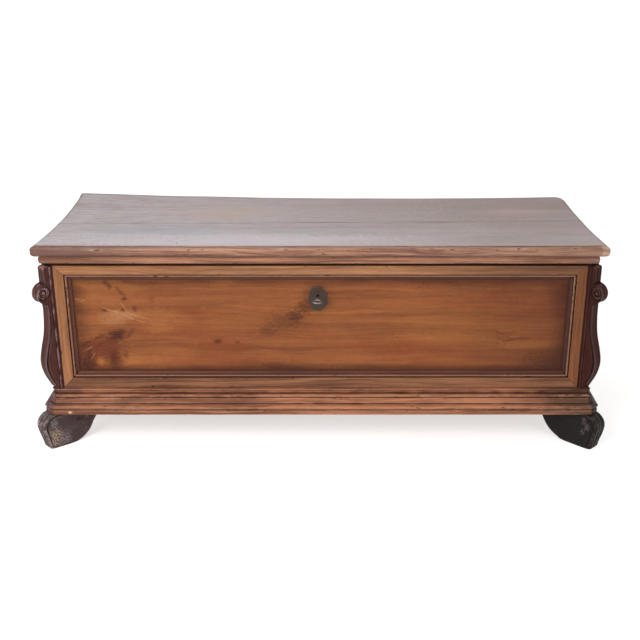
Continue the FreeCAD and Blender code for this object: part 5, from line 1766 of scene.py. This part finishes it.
# Place, target and size of each lamp
KEY_LAMP = ((-2.6, -3.4, 3.0), (0.0, 0.0, 0.35), (2.6, 1.8))
FILL_LAMP = ((3.2, -3.2, 2.2), (0.1, 0.0, 0.35), (2.0, 1.6))


def lamp(name, place, target, size, power):
    """A soft square lamp that looks at a point."""
    light = bpy.data.lights.new(name, "AREA")
    light.shape = "RECTANGLE"
    light.size, light.size_y = size
    light.energy = power
    piece = bpy.data.objects.new(name, light)
    bpy.context.scene.collection.objects.link(piece)
    way = np.array(target) - np.array(place)
    way = way / np.linalg.norm(way)
    piece.location = place
    piece.rotation_euler = (math.acos(-way[2]), 0.0, math.atan2(-way[0], way[1]))


def seen(board):
    """1 where the camera sees a point, also by way of a mirror or glass."""
    rays = [board.node("ShaderNodeLightPath", None, None, output) for output in (0, 3, 6)]
    return rays[0].most(rays[1]).most(rays[2])


class BuildStage(bpy.types.Operator):
    """Floor, white surroundings, lamps and camera"""

    bl_idname = "chest.stage"
    bl_label = "Stage"

    def execute(self, context):
        stage = context.scene.chest_stage
        reach = (np.linspace(0.0, 1.0, FLOOR_RINGS) ** 2 * FLOOR_REACH)[:, None]
        turn = np.linspace(0.0, TURN, FLOOR_SPOKES + 1)[:-1]
        plan = np.stack([reach * np.cos(turn), reach * np.sin(turn), 0.0 * reach * turn], axis=-1)
        index = np.arange(FLOOR_RINGS * FLOOR_SPOKES).reshape(FLOOR_RINGS, FLOOR_SPOKES)
        index = np.concatenate([index, index[:, :1]], axis=1)
        quads = np.stack([index[:-1, :-1], index[1:, :-1], index[1:, 1:], index[:-1, 1:]], axis=-1)
        mesh = bpy.data.meshes.new("floor")
        mesh.from_pydata(plan.reshape(-1, 3).tolist(), [], quads.reshape(-1, 4).tolist())
        board = Board(bpy.data.materials.new("floor"))
        glow = board.mix(seen(board), (0.0, 0.0, 0.0), (stage.floor_glow,) * 3)
        surfaced = board.node("ShaderNodeBsdfPrincipled", None, {
            "Base Color": (0.86, 0.86, 0.86, 1.0), "Roughness": 0.9, "Emission Color": glow,
            "Emission Strength": 1.0})
        board.node("ShaderNodeOutputMaterial", None, {"Surface": surfaced}, None)
        mesh.materials.append(board.owner)
        floor = bpy.data.objects.new("floor", mesh)
        context.scene.collection.objects.link(floor)
        board = Board(bpy.data.worlds.new("studio"))
        context.scene.world = board.owner
        strength = board.node("ShaderNodeMapRange", None, {"Value": seen(board), "To Min": stage.ambient})
        light = board.node("ShaderNodeBackground", None,
                           {"Color": (1.0, 1.0, 1.0, 1.0), "Strength": strength})
        board.node("ShaderNodeOutputWorld", None, {"Surface": light}, None)
        lamp("key", *KEY_LAMP, stage.key)
        lamp("fill", *FILL_LAMP, stage.fill)
        camera = bpy.data.objects.new("camera", bpy.data.cameras.new("camera"))
        camera.data.sensor_width = SENSOR
        camera.data.lens = SENSOR * FOCAL_PIXELS / IMAGE_SIZE
        camera.data.shift_x, camera.data.shift_y = CAMERA_SHIFT
        camera.location = CAMERA_PLACE
        camera.rotation_euler = (math.radians(90.0 - CAMERA_PITCH), 0.0, 0.0)
        context.scene.collection.objects.link(camera)
        context.scene.camera = camera
        context.scene.view_settings.view_transform = "Standard"
        return {"FINISHED"}


class ChestPanel(bpy.types.Panel):
    """Sidebar list of the chest's settings and pieces"""

    bl_idname = "CHEST_PT_pieces"
    bl_label = "Walnut chest"
    bl_space_type = "VIEW_3D"
    bl_region_type = "UI"
    bl_category = "Chest"

    def draw(self, context):
        for group in (context.scene.chest_sizes, context.scene.chest_colours, context.scene.chest_stage):
            for name in group.bl_rna.properties.keys():
                if name not in ("rna_type", "name"):
                    self.layout.prop(group, name)
        for operator in OPERATORS:
            self.layout.operator(operator.bl_idname)


OPERATORS = (BuildStage, DressCarcase, BuildFrontFrame, BuildSideFrames, BuildBase, BuildBrackets,
             BuildFeet, BuildLid, BuildSkirt, BuildIronwork)
CLASSES = (ChestSizes, ChestColours, ChestStage, *OPERATORS, ChestPanel)


def register():
    for item in CLASSES:
        bpy.utils.register_class(item)
    bpy.types.Scene.chest_sizes = PointerProperty(type=ChestSizes)
    bpy.types.Scene.chest_colours = PointerProperty(type=ChestColours)
    bpy.types.Scene.chest_stage = PointerProperty(type=ChestStage)


def unregister():
    for name in ("chest_sizes", "chest_colours", "chest_stage"):
        delattr(bpy.types.Scene, name)
    for item in reversed(CLASSES):
        bpy.utils.unregister_class(item)


def main():
    """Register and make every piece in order."""
    register()
    bpy.ops.chest.stage()
    bpy.ops.chest.carcase()
    bpy.ops.chest.front_frame()
    bpy.ops.chest.side_frames()
    bpy.ops.chest.base()
    bpy.ops.chest.brackets()
    bpy.ops.chest.feet()
    bpy.ops.chest.lid()
    bpy.ops.chest.skirt()
    bpy.ops.chest.ironwork()


if __name__ == "__main__":
    main()
